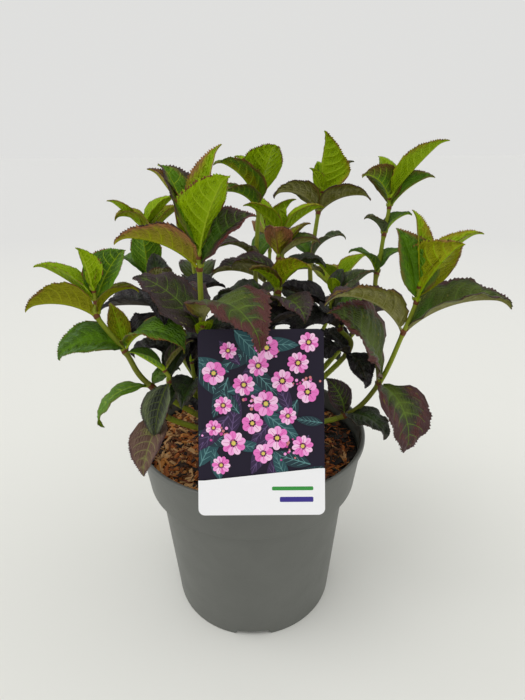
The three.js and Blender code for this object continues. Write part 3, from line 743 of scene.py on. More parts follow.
def matches(leaf, corners):
    """How many of the leaf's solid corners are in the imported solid"""
    apart = np.linalg.norm(leaf.solid_corners()[:, None] - corners[None], axis=2)
    return int((apart.min(1) < MATCH_DISTANCE).sum())


def grown_leaves(name, shoot, draw):
    """The leaves of one shoot by the growth rule, each nudged as in the solid, or left out where it was"""
    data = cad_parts["foliage_" + name].data
    corners = np.array([vertex.co for vertex in data.vertices]) / MM
    leaves = []
    joints = shoot[2]
    for index, (root, *twins) in enumerate(joints):
        age = min(len(joints) - 1 - index, len(BEND_BY_AGE) - 1)
        for twin, (heading, rise, length, tint, *more) in enumerate(twins):
            own = more[0] if more else {}
            bend = own.get("bend", BEND_BY_AGE[age]) + BEND_JITTER * (2 * draw() - 1)
            roll = own.get("roll", 0) + ROLL_JITTER * (2 * draw() - 1)
            wide = own.get("wide", WIDE_BY_AGE[age])
            foot = (root[0], root[1], root[2] + TWIN_STEP * twin)
            tries = []
            for attempt in range(NUDGE_TRIES):
                swing = NUDGE_STEP * math.ceil(attempt / 2) * (1 if attempt % 2 else -1)
                size = length * (1 - NUDGE_SHRINK * attempt)
                tries.append(Leaf(foot, heading + swing, rise + swing / 2, size, bend, FOLD_BY_AGE[age], roll,
                                  wide, tint, age))
            found = [matches(leaf, corners) for leaf in tries]
            if max(found) >= MATCHES_NEEDED:
                best = tries[int(np.argmax(found))]
                best.ripe = own.get("ripe", 0)
                leaves.append(best)
    return leaves


def vein_rows():
    """Rows of a blade from its foot to its tip: the side vein that each follows, as its start on the midrib,
    its side of the vein's own width, its phase between two veins, and whether a tooth stands there"""
    feet = FEET_START + (FEET_END - FEET_START) * (np.arange(VEIN_PAIRS) / VEIN_PAIRS) ** 0.92
    rows = [(v, 0, 0.5, index % 2) for index, v in enumerate(np.linspace(BLADE_START, feet[0], 6)[:-1])]
    shares = np.linspace(0, 1, ROWS_BETWEEN_VEINS)[1:-1]
    for foot, after in zip(feet, [*feet[1:], LAST_ROW]):
        rows += [(foot, -1, 0, 0), (foot, 1, 0, 1)]
        rows += [(foot + (after - foot) * share, 0, share, step % 2) for step, share in enumerate(shares)]
    return np.array(rows + [(LAST_ROW, 0, 0, 1), (1.0, 0, 0, 0)], float)


def crinkles(noise, across, along, wave, terms=5):
    """A smooth random relief of about one unit, made of a few slanting waves of about this length"""
    total = np.zeros(across.shape)
    for _ in range(terms):
        turn, start = noise.uniform(0, 2 * np.pi, 2)
        size = wave * noise.uniform(0.7, 1.4)
        total += np.sin(2 * np.pi * (across * math.cos(turn) + along * math.sin(turn)) / size + start)
    return total / math.sqrt(terms / 2)


def face_means(values):
    """The mean of the four corners of each face of a grid"""
    return (values[1:, 1:] + values[:-1, 1:] + values[1:, :-1] + values[:-1, :-1]).ravel() / 4


def around_grid(values, shared=1):
    """A grid's outer values in turn, from its first one round; shared is 1 where sides share their corners"""
    sides = values[:, -1], values[-1, ::-1], values[::-1, 0]
    return np.concatenate([values[0]] + [side[shared:] for side in sides])


def add_blade(heap, leaf, noise):
    """The fine blade: rows that follow the side veins, quilted between them, with teeth along the margin"""
    above, below, vein, under_vein, tooth_look = tint_colours(leaf.tint)
    # The rows follow the side veins outwards, and the margin runs out into teeth
    foot, vein_side, phase, tooth = (column[:, None] for column in vein_rows().T)
    half_count = len(SPREADS)
    sign = np.concatenate([-np.ones(half_count), [0], np.ones(half_count)])[None]
    spread = np.concatenate([SPREADS[::-1], [0], SPREADS])[None]
    lead = VEIN_LEAD * (1 - foot) ** 0.8 * np.clip((foot - BLADE_START) / 0.09, 0, 1)
    vein_half = VEIN_WIDTH / leaf.length / 2 * (1 - 0.6 * spread) * np.clip((1 - foot) * 3, 0.3, 1)
    s = foot + vein_side * vein_half + lead * (0.45 * spread + 0.7 * spread**2.4)
    half = leaf.half_width * profile(s) + 0.25
    rib = np.minimum(0.7 - 0.45 * s, 0.4 * half)
    outermost = (spread == 1) * np.clip((1 - foot) * 12, 0.3, 1)
    jag = tooth * noise.uniform(0.6, 1.25, (len(tooth), 2))[:, [0] * (half_count + 1) + [1] * half_count]
    y = sign * (rib + (half - rib) * spread + outermost * jag * TOOTH_HEIGHT * leaf.length)
    s = np.clip(s + outermost * jag * TOOTH_LEAD, 0, 1)
    along = s * leaf.length
    across = sign * spread * half

    # The height over the midrib: the fold, the waved margin, the quilting, the crinkles and the drooping tip
    crumple = CRUMPLED.get(leaf.tint, 0)
    part = np.clip(np.abs(y) / half, 0, 1)
    height = leaf.lift * np.abs(y) * (1 + FOLD_ROUNDING * (1 - part**2))
    starts = noise.uniform(0, 2 * np.pi, 4)
    wave = (WAVE_BY_AGE[leaf.age] * noise.uniform(0.6, 1.5) + 0.08 * crumple) * leaf.half_width
    beat = np.where(sign > 0, starts[0], starts[1])
    margin = np.sin(along / MARGIN_BEATS[0] + beat) + 0.5 * np.sin(along / MARGIN_BEATS[1] + 2 * beat)
    height += wave * spread**2 * margin
    between = np.sin(np.pi * phase)
    quilt = QUILT_BY_AGE[leaf.age] * (1 + 0.5 * crumple) * leaf.half_width / QUILT_HALF_WIDTH
    height += quilt * between**0.6 * np.minimum(1, 3 * spread) * (1 - 0.75 * spread**2)
    inner = np.minimum(1, 4 * spread) * (1 - 0.6 * spread**2)
    height += CRINKLE_BY_AGE[leaf.age] * inner * crinkles(noise, across, along, CRINKLE_WAVE)
    height += CREASE_HEIGHT * crumple * inner * crinkles(noise, across, along, CREASE_WAVE)
    height -= (sign == 0) * RIB_DEPTH
    height -= TIP_DROOP * leaf.length * np.clip((s - TIP_START) / (1 - TIP_START), 0, 1) ** 2
    rippled = between**0.5 * np.minimum(1, 5 * spread) * (1 - 0.5 * spread)
    grain = np.stack([np.abs(across), along, np.broadcast_to(rippled, s.shape)], -1).reshape(-1, 3)
    centre, side, normal = leaf.frame(s)
    top = centre + side * y[..., None] + normal * height[..., None]
    keel = (sign == 0) * (1.2 - 0.95 * s)
    under = top - normal * (BLADE_THICKNESS + np.minimum(keel, 0.8 * half))[..., None]
    rows, columns = s.shape
    faces = grid_faces(rows, columns)

    # The shade: outwards and towards the tip the tint's later colours, in soft patches
    face_s = face_means(s)
    face_spread = face_means(np.broadcast_to(spread, s.shape))
    face_phase = face_means(np.broadcast_to(between, s.shape))
    shade = 0.72 * face_spread**1.7 + 0.5 * np.clip(face_s - 0.4, 0, 1) ** 1.2 + 0.1 * face_phase
    for size, share in PATCH_WAVES.items():
        shade += share * face_means(crinkles(noise, across, along, size))
    shade += noise.normal(0, 0.035, len(shade))
    shade += noise.uniform(-0.08, 0.08) + leaf.ripe * (face_s - 0.25)
    on_vein = np.repeat(vein_side[:-1, 0] < 0, columns - 1) & (face_spread < 0.8) | (face_spread < 0.01)
    edge = (face_spread > 0.95) & (face_s > 0.25) & (noise.random(len(shade)) < TEETH_COLOURED)

    def looks(colours, vein_look):
        """A material for each face: the tint's colours outwards, its veins and its teeth"""
        numbers = np.array([heap.look(name) for name in finer(colours)])
        chosen = numbers[np.clip((shade * len(numbers)).astype(int), 0, len(numbers) - 1)]
        return np.where(edge, heap.look(tooth_look), np.where(on_vein, heap.look(vein_look), chosen))

    # The two sides and the thin rim that joins them
    upper = looks(above, vein)
    heap.add(top, faces[:, ::-1], upper, grain=grain)
    heap.add(under, faces, looks(below, under_vein), grain=grain)
    numbers = np.arange(rows * columns).reshape(rows, columns)
    border = around_grid(numbers)[:-1]
    rim = np.vstack([top.reshape(-1, 3)[border], under.reshape(-1, 3)[border]])
    strip = grid_faces(2, len(border), closed=True)
    heap.add(rim, strip, around_grid(upper.reshape(rows - 1, columns - 1), 0), smooth=False)


def add_stalk(heap, leaf):
    """The leafstalk, from the joint to the foot of the blade"""
    steps = 7
    centre, _, normal = leaf.frame(np.linspace(0.0, BLADE_START + 0.03, steps))
    radii = np.linspace(1.7, 0.95, steps) * min(1, 0.45 + leaf.length / 90)
    red = 3 if leaf.age >= 2 else 1
    looks = [heap.look("joint_red")] * red + [heap.look(tint_colours(leaf.tint)[3])] * (steps - red)
    tube(heap, centre - normal * 0.5, radii, looks, sides=8, across=(0.02, 0.03, 1))


def add_bud(heap, foot, way, size, look):
    """A small pointed bud, its size being its length and radius"""
    length, radius = size
    radii = radius * np.array([0.7, 0.95, 1, 0.85, 0.6, 0.3, 0.08])
    places = foot + np.linspace(0, 1, len(radii))[:, None] * length * way
    tube(heap, places, radii, [look] * len(radii), sides=8, across=(0.3, 0.95, 0.1), round_end=True)


def add_twig(heap, shoot, leaves):
    """The leafy end of a stem: swollen at its joints, with leafstalks and buds"""
    joints = shoot[2]
    count = len(joints)
    shares = np.linspace(BARE_SHARE / count + 0.0005, 1, 14 * count)
    places = on_curve(stem_points(shoot), shares)
    roots = np.array([joint[0] for joint in joints], float)
    apart = np.linalg.norm(places[:, None] - roots[None], axis=2).min(1)
    radii = stem_radii(shares) * (1 + JOINT_SWELL * np.exp(-((apart / JOINT_REACH) ** 2)))
    red, green, olive, brown = (heap.look(name) for name in ["joint_red"] + STEM_COLOURS[::-1])
    plain = np.where(shares > 0.4, green, np.where(shares > 0.15, olive, brown))
    tube(heap, places, radii, np.where(apart < JOINT_RED_REACH, red, plain), round_end=True)
    for leaf in leaves:
        add_stalk(heap, leaf)
        way = np.array([math.cos(leaf.heading) * 0.5, math.sin(leaf.heading) * 0.5, 0.85])
        start = leaf.root + way * np.array([3.2, 3.2, 1.5])
        add_bud(heap, start, way / np.linalg.norm(way), SIDE_BUD, green if leaf.age < 3 else brown)
    add_bud(heap, places[-1], directions(places)[-1], TIP_BUD, heap.look("lime"))


def add_stem(heap, shoot, noise):
    """The bare part of a stem, with the shallow ridges of its bark"""
    sides = 16
    shares = np.linspace(0, BARE_SHARE / len(shoot[2]), 60)
    rib = 0.035 * np.cos(5 * around_circle(sides) + 0.6) + 0.03 * noise.normal(0, 1, (len(shares), sides))
    brown, olive, green = (heap.look(name) for name in STEM_COLOURS)
    blend = np.clip(shares / shares[-1] + noise.normal(0, 0.1, len(shares)), 0, 1)
    looks = np.where(blend > 0.5, green, np.where(blend > 0.15, olive, brown))
    places = on_curve(stem_points(shoot), shares)
    tube(heap, places, stem_radii(shares), looks, sides=sides, relief=1 + rib)


def add_stub(heap, foot, noise):
    """A woody stub, cut across at its top, with rough bark"""
    levels = np.linspace(0, 1, 40)
    sides = 28
    swell = np.interp(levels, [0, 0.3, 0.75, 0.93, 1], [1.35, 1, 1.08, 0.9, 0.8])
    places = np.array([(*foot, SOIL_TOP + 0.3 + STUB_HEIGHT * level) for level in levels])
    ridges = 0.05 * np.sin(7 * around_circle(sides)[None] + 3 * np.sin(levels[:, None] * 4))
    rough = ridges + BARK_ROUGHNESS * noise.normal(0, 1, (len(levels), sides))
    looks = [heap.look("bark_dark" if noise.random() < DARK_BARK_SHARE else "bark") for _ in levels]
    looks[-1] = heap.look("cut_wood")
    tube(heap, places, STUB_RADIUS * swell, looks, sides=sides, relief=1 + rough)


def grow_plant():
    """Every shoot by the growth rule: its leaves in a piece of their own, and its twig and bare stem"""
    draw = random_stream(SEED)
    noise = np.random.default_rng(SEED)
    stems = Heap()
    twigs = Heap()
    for name, shoot in SHOOTS.items():
        leaves = grown_leaves(name, shoot, draw)
        foliage = Heap()
        for leaf in leaves:
            add_blade(foliage, leaf, noise)
        foliage.build("leaves_" + name, plant_material, ["foliage_" + name])
        add_twig(twigs, shoot, leaves)
        add_stem(stems, shoot, noise)
    twigs.build("twigs", plant_material)
    stems.build("bare_stems", plant_material, ["stem_" + name for name in SHOOTS])
    stubs = Heap()
    for point in STUBS.values():
        add_stub(stubs, point, noise)
    stubs.build("woody_stubs", bark_material, ["stub_" + name for name in STUBS])


# The pot
def inner_radius(z):
    """The inside of the wall at a height"""
    if z > COLLAR_BOTTOM:
        share = (z - COLLAR_BOTTOM) / (POT_HEIGHT - COLLAR_BOTTOM)
        return COLLAR_BOTTOM_RADIUS - WALL + (RIM_INNER_RADIUS - COLLAR_BOTTOM_RADIUS + WALL) * share
    return FOOT_RADIUS + (BODY_TOP_RADIUS - FOOT_RADIUS) * z / COLLAR_BOTTOM - WALL


def arc(centre, radius, start, end, steps):
    """Points on a round stretch of a profile, angles in degrees"""
    angles = np.radians(np.linspace(start, end, steps))
    return [(centre[0] + radius * math.cos(a), centre[1] + radius * math.sin(a)) for a in angles]


def pot_profile():
    """The pot's section, out of the ground, up outside, over the rounded lip and down inside"""
    collar_top = RIM_RADIUS - LIP_OVERHANG
    collar_low = COLLAR_BOTTOM + LEDGE_ROUNDING + 0.3
    ledge = (COLLAR_BOTTOM_RADIUS - LEDGE_ROUNDING, COLLAR_BOTTOM + LEDGE_ROUNDING)
    collar_high = LIP_BOTTOM - 2.2
    ring_inside = FOOT_RADIUS - FOOT_RING_WIDTH
    body = [(FOOT_RADIUS + (BODY_TOP_RADIUS - FOOT_RADIUS) * t, COLLAR_BOTTOM * t)
            for t in np.linspace(0.012, 0.985, 14)]
    collar = [(COLLAR_BOTTOM_RADIUS + (collar_top - COLLAR_BOTTOM_RADIUS) * t,
               collar_low + (collar_high - collar_low) * t)
              for t in (0, 0.02, 0.05, 0.2, 0.4, 0.6, 0.8, 0.94, 0.98, 1)]
    inside = [(inner_radius(z), z) for low, high in ((LIP_BOTTOM - 1, COLLAR_BOTTOM + 3),
                                                     (COLLAR_BOTTOM - 2, FLOOR_TOP + 1))
              for z in np.linspace(low, high, 6)]
    return np.array([
        (0, 0), (FOOT_DISC_RADIUS - 1, 0), (FOOT_DISC_RADIUS, 0.4), (FOOT_DISC_RADIUS + 3, FOOT_CLEARANCE),
        (ring_inside - 2, FOOT_CLEARANCE), (ring_inside, 0.5), (ring_inside + 0.6, 0),
        (FOOT_RADIUS - 0.8, 0), (FOOT_RADIUS, 0.6),
        *body,
        (BODY_TOP_RADIUS, COLLAR_BOTTOM - 0.4), (BODY_TOP_RADIUS + 0.5, COLLAR_BOTTOM),
        *arc(ledge, LEDGE_ROUNDING, -90, 0, 6),
        *collar,
        (collar_top + 0.1, LIP_BOTTOM - 1.2), (collar_top + 0.3, LIP_BOTTOM - 0.3),
        (RIM_RADIUS - 1.2, LIP_BOTTOM), (RIM_RADIUS - 0.3, LIP_BOTTOM + 0.5), (RIM_RADIUS, LIP_BOTTOM + 1.6),
        *arc((RIM_RADIUS - LIP_ROUNDING, POT_HEIGHT - LIP_ROUNDING), LIP_ROUNDING, 0, 90, 7),
        *arc((RIM_INNER_RADIUS + INNER_ROUNDING, POT_HEIGHT - INNER_ROUNDING), INNER_ROUNDING, 90, 180, 6),
        (inner_radius(LIP_BOTTOM) - 0.2, LIP_BOTTOM),
        *inside,
        (inner_radius(FLOOR_TOP) - 1, FLOOR_TOP), (0, FLOOR_TOP),
    ])


def pot_material(name):
    """Matte grey moulded plastic, a little mottled and dusty, with a fine bumpy grain"""
    material, tree, shader = new_material(name, POT_GREYS[1][1], 0.48, 0.8)
    places = noise_bump(tree, shader, [(60, 0.0006), (900, 0.00012), (2600, 0.00006)], 0.5)
    blotches = node(tree, "TexNoise", Scale=16, Detail=8.0, Roughness=0.6)
    dust = node(tree, "TexNoise", Scale=45.0, Detail=6.0)
    spread = node(tree, "MapRange", To_Min=0.4, To_Max=0.56)
    colour_ramp(tree, shader, blotches, "Fac", POT_GREYS)
    link(tree, (places, "Object", blotches, "Vector"), (places, "Object", dust, "Vector"),
         (dust, "Fac", spread, "Value"), (spread, "Result", shader, "Roughness"))
    return material


def cut(piece, cutter):
    """Cuts one mesh object out of another and removes the cutter"""
    boolean = piece.modifiers.new("cut", "BOOLEAN")
    boolean.operation = "DIFFERENCE"
    boolean.solver = "EXACT"
    boolean.object = cutter
    seen = bpy.context.evaluated_depsgraph_get()
    done = bpy.data.meshes.new_from_object(piece.evaluated_get(seen))
    piece.modifiers.clear()
    piece.data = done
    bpy.data.objects.remove(cutter)


def notch_cutter():
    """The four drain notches in the foot ring, as one mesh object to be cut away"""
    mesh = bmesh.new()
    wide = NOTCH_WIDTH / 2
    narrow = wide - NOTCH_SLANT
    outline = [(-wide, -1), (wide, -1), (narrow, FOOT_CLEARANCE), (-narrow, FOOT_CLEARANCE)]
    reaches = (-FOOT_RADIUS - 5, -FOOT_DISC_RADIUS - FOOT_RING_WIDTH)
    for index in range(NOTCH_COUNT):
        turn = Matrix.Rotation(2 * math.pi * index / NOTCH_COUNT, 4, "Z")
        near, far = ([mesh.verts.new(turn @ Vector((x, y, z)) * MM) for x, z in outline] for y in reaches)
        mesh.faces.new(near)
        mesh.faces.new(far[::-1])
        for side in range(len(outline)):
            mesh.faces.new([near[side], near[side - 1], far[side - 1], far[side]])
    bmesh.ops.recalc_face_normals(mesh, faces=mesh.faces)
    data = bpy.data.meshes.new("cutter")
    mesh.to_mesh(data)
    mesh.free()
    return add_object("cutter", data)


def make_pot():
    """The pot, turned about its axis, with the notches cut out of its foot ring"""
    section = pot_profile()
    ring = section[1:-1]
    angle = around_circle(POT_SIDES)
    points = np.stack([ring[:, :1] * np.cos(angle), ring[:, :1] * np.sin(angle),
                       np.broadcast_to(ring[:, 1:], (len(ring), POT_SIDES))], -1)
    heap = Heap()
    look = heap.look("moulded_plastic")
    every = np.vstack([points.reshape(-1, 3), (0, 0, section[0, 1]), (0, 0, section[-1, 1])])
    heap.add(every, grid_faces(len(ring), POT_SIDES, closed=True), look)
    heap.join(fan(POT_SIDES, len(every) - 2)[:, ::-1], look)
    heap.join(fan(POT_SIDES, len(every) - 1, (len(ring) - 1) * POT_SIDES), look)
    pot = heap.build("nursery_pot", pot_material, ["pot"])
    cut(pot, notch_cutter())
    pot.data.set_sharp_from_angle(angle=math.radians(38))


# The potting mix
CHIP_COLOURS = {
    "chip_orange": (176, 98, 40),
    "chip_gold": (206, 136, 66),
    "chip_brown": (112, 66, 34),
    "chip_dark": (58, 38, 26),
    "chip_tan": (214, 166, 112),
    "chip_black": (28, 21, 18),
    "chip_red": (124, 62, 34),
}
CHIP_COUNT = 2700
FIBRE_COUNT = 1100
SHORTEST_CHIP = 3
LONGEST_CHIP = 19
FIBRE_LENGTHS = (9, 22)
CHIP_TILT = 0.26
CHIP_RISE = 3.4
BRIGHTNESS = 0.53
BRIGHTNESS_SPREAD = 0.36
# The width in which the mix's brightness falls by its whole range, for it is paler on the left
BRIGHTNESS_FALL = 420
SOIL_SEED = 7
SOIL_GAP = 0.6
SOIL_EDGE = inner_radius(SOIL_EDGE_TOP) - SOIL_GAP
BED_DEPTH = 1.6
BED_RINGS = 90
BED_SIDES = 360
# The black and dark chips are partly painted shade of the gaps between chips, and the gold and tan ones
# partly painted highlights; the rest is the chips' own spread of tones
CHIPS_BY_BRIGHTNESS = "black dark dark brown red brown orange orange gold tan".split()
soil_material = grained(CHIP_COLOURS, 0.88, 0.5, [(420, 0.0012), (1500, 0.0005)], 0.8)


def soil_height(radius):
    """The top of the mix at a distance from the pot's axis"""
    return np.interp(radius, [SOIL_FLAT_RADIUS, SOIL_EDGE], [SOIL_TOP, SOIL_EDGE_TOP])


def turned(points, spin, pitch, bank):
    """Points turned about their own axes and then about the upright, each chip by its own angles"""
    x, y, z = points[..., 0], points[..., 1], points[..., 2]
    y, z = y * np.cos(bank) - z * np.sin(bank), y * np.sin(bank) + z * np.cos(bank)
    x, z = x * np.cos(pitch) + z * np.sin(pitch), -x * np.sin(pitch) + z * np.cos(pitch)
    x, y = x * np.cos(spin) - y * np.sin(spin), x * np.sin(spin) + y * np.cos(spin)
    return np.stack([x, y, z], -1)


def on_circles(radius, angle, height):
    """Points from their distance to the axis, their angle about it and their height"""
    return np.stack([radius * np.cos(angle), radius * np.sin(angle), height], -1)


def make_soil():
    """The bed of the mix with its lumpy top, and the loose chips and fibres that lie on it"""
    rng = np.random.default_rng(SOIL_SEED)
    base = Heap()
    angle = around_circle(BED_SIDES)
    radius = np.broadcast_to(np.linspace(0.5, SOIL_EDGE, BED_RINGS)[:, None], (BED_RINGS, BED_SIDES))
    lump = np.sin(radius * 0.31 + 3 * np.cos(2 * angle)) * np.sin(angle * 13 + radius * 0.12)
    height = soil_height(radius) - BED_DEPTH + 0.9 * lump + rng.normal(0, 0.5, radius.shape)
    floor = FLOOR_TOP + 0.3
    skirt = [(inner_radius(COLLAR_BOTTOM + 4) - SOIL_GAP, COLLAR_BOTTOM + 4),
             (inner_radius(COLLAR_BOTTOM - 2) - SOIL_GAP, COLLAR_BOTTOM + 1.5),
             (inner_radius(floor) - SOIL_GAP, floor), (0.5, floor)]
    lower = [on_circles(r, angle, np.full(BED_SIDES, z)) for r, z in skirt]
    every = np.concatenate([on_circles(radius, angle, height), np.array(lower)])
    # The bed takes the black chip colour: painted shade where the gaps between the chips show it
    base.add(every, grid_faces(len(every), BED_SIDES, closed=True)[:, ::-1], base.look("chip_black"))
    base.build("mix_bed", soil_material, ["soil"])

    chips = Heap()
    count = CHIP_COUNT + FIBRE_COUNT
    corner = np.array([(x, y, z) for x in (-1, 1) for y in (-1, 1) for z in (-1, 1)], float)
    is_chip = np.arange(count) < CHIP_COUNT
    chip_long = np.minimum(rng.gamma(3.2, 2.0, count) + SHORTEST_CHIP, LONGEST_CHIP)
    long = np.where(is_chip, chip_long, rng.uniform(*FIBRE_LENGTHS, count))
    wide = np.where(is_chip, long**0.5 * rng.uniform(0.4, 1.4, count), rng.uniform(0.5, 0.9, count))
    thick = np.where(is_chip, rng.uniform(0.5, 1.5, count), rng.uniform(0.3, 0.6, count))
    reach = np.sqrt(rng.uniform(0, 1, count)) * (SOIL_EDGE - 1.5 - long * 0.4)
    around = rng.uniform(0, 2 * np.pi, count)
    size = np.stack([long, wide, thick], -1) / 2
    shape = corner[None] * size[:, None] * rng.uniform(0.62, 1.15, (count, 8, 3))
    tilt = rng.normal(0, CHIP_TILT, (2, count, 1)) * np.where(is_chip, 1, 0.6)[None, :, None]
    shape = turned(shape, rng.uniform(0, 2 * np.pi, (count, 1)), tilt[0], tilt[1])
    centre = on_circles(reach, around, soil_height(reach) - BED_DEPTH + rng.uniform(0, CHIP_RISE, count))
    box_faces = np.array([(0, 1, 3, 2), (4, 6, 7, 5), (0, 4, 5, 1), (2, 3, 7, 6), (0, 2, 6, 4), (1, 5, 7, 3)])
    faces = (np.arange(count)[:, None, None] * 8 + box_faces[None]).reshape(-1, 4)
    brightness = BRIGHTNESS - centre[:, 0] / BRIGHTNESS_FALL + rng.normal(0, BRIGHTNESS_SPREAD, count)
    numbers = np.array([chips.look("chip_" + name) for name in CHIPS_BY_BRIGHTNESS])
    looks = numbers[(np.clip(brightness, 0, 0.999) * len(numbers)).astype(int)]
    chips.add(centre[:, None] + shape, faces, np.repeat(looks, 6), smooth=False)
    chips.build("mix_chips", soil_material)


# The card
CARD_COLOURS = {
    "print_ground": (30, 24, 42),
    "print_slate": (38, 58, 66),
    "print_teal": (44, 80, 86),
    "print_vein": (92, 138, 138),
    "print_violet": (56, 42, 72),
    "print_mauve": (98, 78, 120),
    "print_pink": (238, 122, 200),
    "print_rose": (250, 168, 226),
    "print_pale": (253, 206, 238),
    "print_magenta": (196, 70, 146),
    "print_blush": (206, 128, 128),
    "print_yellow": (226, 206, 104),
    "print_green": (58, 148, 66),
    "print_blue": (64, 54, 142),
    "card_white": (246, 246, 248),
}
PRINT_STEP = 0.005
PRINT_FOOT = 32
PRINT_SEED = 31
PRINT_MARGIN = 0.6
LEAF_LENGTHS = (20, 40)
BEAD_RADII = (0.7, 1.3)
BLOSSOM_RADII = (6, 10.5)
LEAF_LOOKS = [("print_slate", "print_vein"), ("print_violet", "print_mauve"), ("print_teal", "print_vein")]
BEAD_LOOKS = ["print_blush", "print_magenta", "print_rose"]
PETAL_LOOKS = ["print_pink", "print_rose", "print_pale"]
PRINTED_LEAVES = 34
PRINTED_BEADS = 110
PRINTED_BLOSSOMS = 19
BEAD_SWARMS = [(-30, 62), (22, 50), (-6, 88), (34, 104), (4, 128)]
GOLDEN_STEP = 0.618
GOLDEN_REST = 0.382
# Where the white foot of the print ends on the left and on the right, and its bars
WHITE_FOOT_LEFT = 27
WHITE_FOOT_RIGHT = 36
BARS = {"print_green": (8, 19, 40, 22), "print_blue": (14, 10, 40, 14)}
card_material = grained(CARD_COLOURS, 0.4, 0.2, [(35, 0.0008), (900, 0.00003)], 0.25)


def on_level(points, level):
    """Flat points, x to the right and y up the card's face, at a height over its back, in the part's frame"""
    lean = math.radians(CARD_LEAN)
    x, y = points[:, 0], points[:, 1]
    return CARD_FOOT + np.column_stack([
        x,
        y * math.sin(lean) - level * math.cos(lean),
        y * math.cos(lean) + level * math.sin(lean),
    ])


def round_rectangle(left, bottom, right, top, corner, steps=8):
    """The outline of a rectangle with round corners, anticlockwise"""
    centres = [(right - corner, bottom + corner, -90), (right - corner, top - corner, 0),
               (left + corner, top - corner, 90), (left + corner, bottom + corner, 180)]
    outline = []
    for x, y, start in centres:
        outline += arc((x, y), corner, start, start + 90, steps)
    return np.array(outline)


def add_patch(heap, outline, level, look):
    """A flat patch of print at a level over the card's back, its outline star-shaped from its middle"""
    points = np.vstack([outline, outline.mean(0)])
    heap.add(on_level(points, level), fan(len(outline), len(outline)), heap.look(look), smooth=False)


def add_prism(heap, back, front, look, side_looks):
    """A solid between two outlines, anticlockwise as seen from the front one"""
    around = np.arange(len(back))[None]
    heap.add(np.vstack([back, front]), grid_faces(2, len(back), closed=True), side_looks, smooth=False)
    heap.join(around[:, ::-1], look, smooth=False)
    heap.join(around + len(back), look, smooth=False)


def make_card():
    """The plate with its print, and the tongue that hooks over the rim"""
    heap = Heap()
    outline = round_rectangle(-CARD_WIDTH / 2, 0, CARD_WIDTH / 2, CARD_HEIGHT, CARD_CORNER)
    white = heap.look("card_white")
    sides = np.where(outline[:, 1] > PRINT_FOOT, heap.look("print_ground"), white)
    add_prism(heap, on_level(outline, 0), on_level(outline, CARD_THICKNESS), white, sides)
    wall = -RIM_INNER_RADIUS
    over_rim = POT_HEIGHT + 0.3
    tongue_end = SOIL_EDGE_TOP + 1.2
    tongue = np.array([
        (wall - 2.4, over_rim + 2.6), (wall - 1.6, over_rim), (wall + 1.6, over_rim),
        (wall + 4.6, tongue_end), (wall + 5.4, tongue_end),
        (wall + 2.5, over_rim + 0.8), (wall - 1.2, over_rim + 1.2), (wall - 1.4, over_rim + 2.6),
    ])
    ends = [np.column_stack([np.full(len(tongue), side * TONGUE_WIDTH / 2), tongue]) for side in (-1, 1)]
    add_prism(heap, *ends, white, white)
    add_print(heap)
    heap.build("picture_card", card_material, ["label_card"])


def spun(points, turn, x, y):
    """Flat points turned about the origin, moved to a place on the card and held inside its printed face"""
    way = np.array([[math.cos(turn), math.sin(turn)], [-math.sin(turn), math.cos(turn)]])
    edge = CARD_WIDTH / 2 - PRINT_MARGIN
    return np.clip(points @ way + (x, y), (-edge, PRINT_MARGIN), (edge, CARD_HEIGHT - PRINT_MARGIN))


def disc(radius, count):
    """The outline of a disc about the origin"""
    return radius * np.column_stack([np.cos(around_circle(count)), np.sin(around_circle(count))])


def stroke(x0, y0, x1, y1, wide):
    """A thin straight line from one point to another, narrowing to its end"""
    way = np.array([x1 - x0, y1 - y0])
    across = np.array([-way[1], way[0]]) / np.hypot(*way) * wide / 2
    start = np.array([x0, y0])
    end = np.array([x1, y1])
    return np.array([start - across, end - across * 0.3, end + across * 0.3, start + across])


def printed_leaf(long):
    """A pointed leaf with its midrib and side veins, along x about the origin"""
    share = np.linspace(0, 1, 14)
    half = long * 0.62 * share**0.8 * (1 - share)
    x = (share - 0.5) * long
    outline = np.vstack([np.column_stack([x, -half]), np.column_stack([x, half])[-2:0:-1]])
    veins = [stroke(-long / 2, 0, long * 0.46, 0, long * 0.03)]
    for foot in np.linspace(0.12, 0.72, 5):
        reach = long * 0.5 * (foot + 0.12) ** 0.8 * (0.88 - foot)
        veins += [stroke((foot - 0.5) * long, 0, (foot - 0.32) * long, side * reach, long * 0.018)
                  for side in (-1, 1)]
    return outline, veins


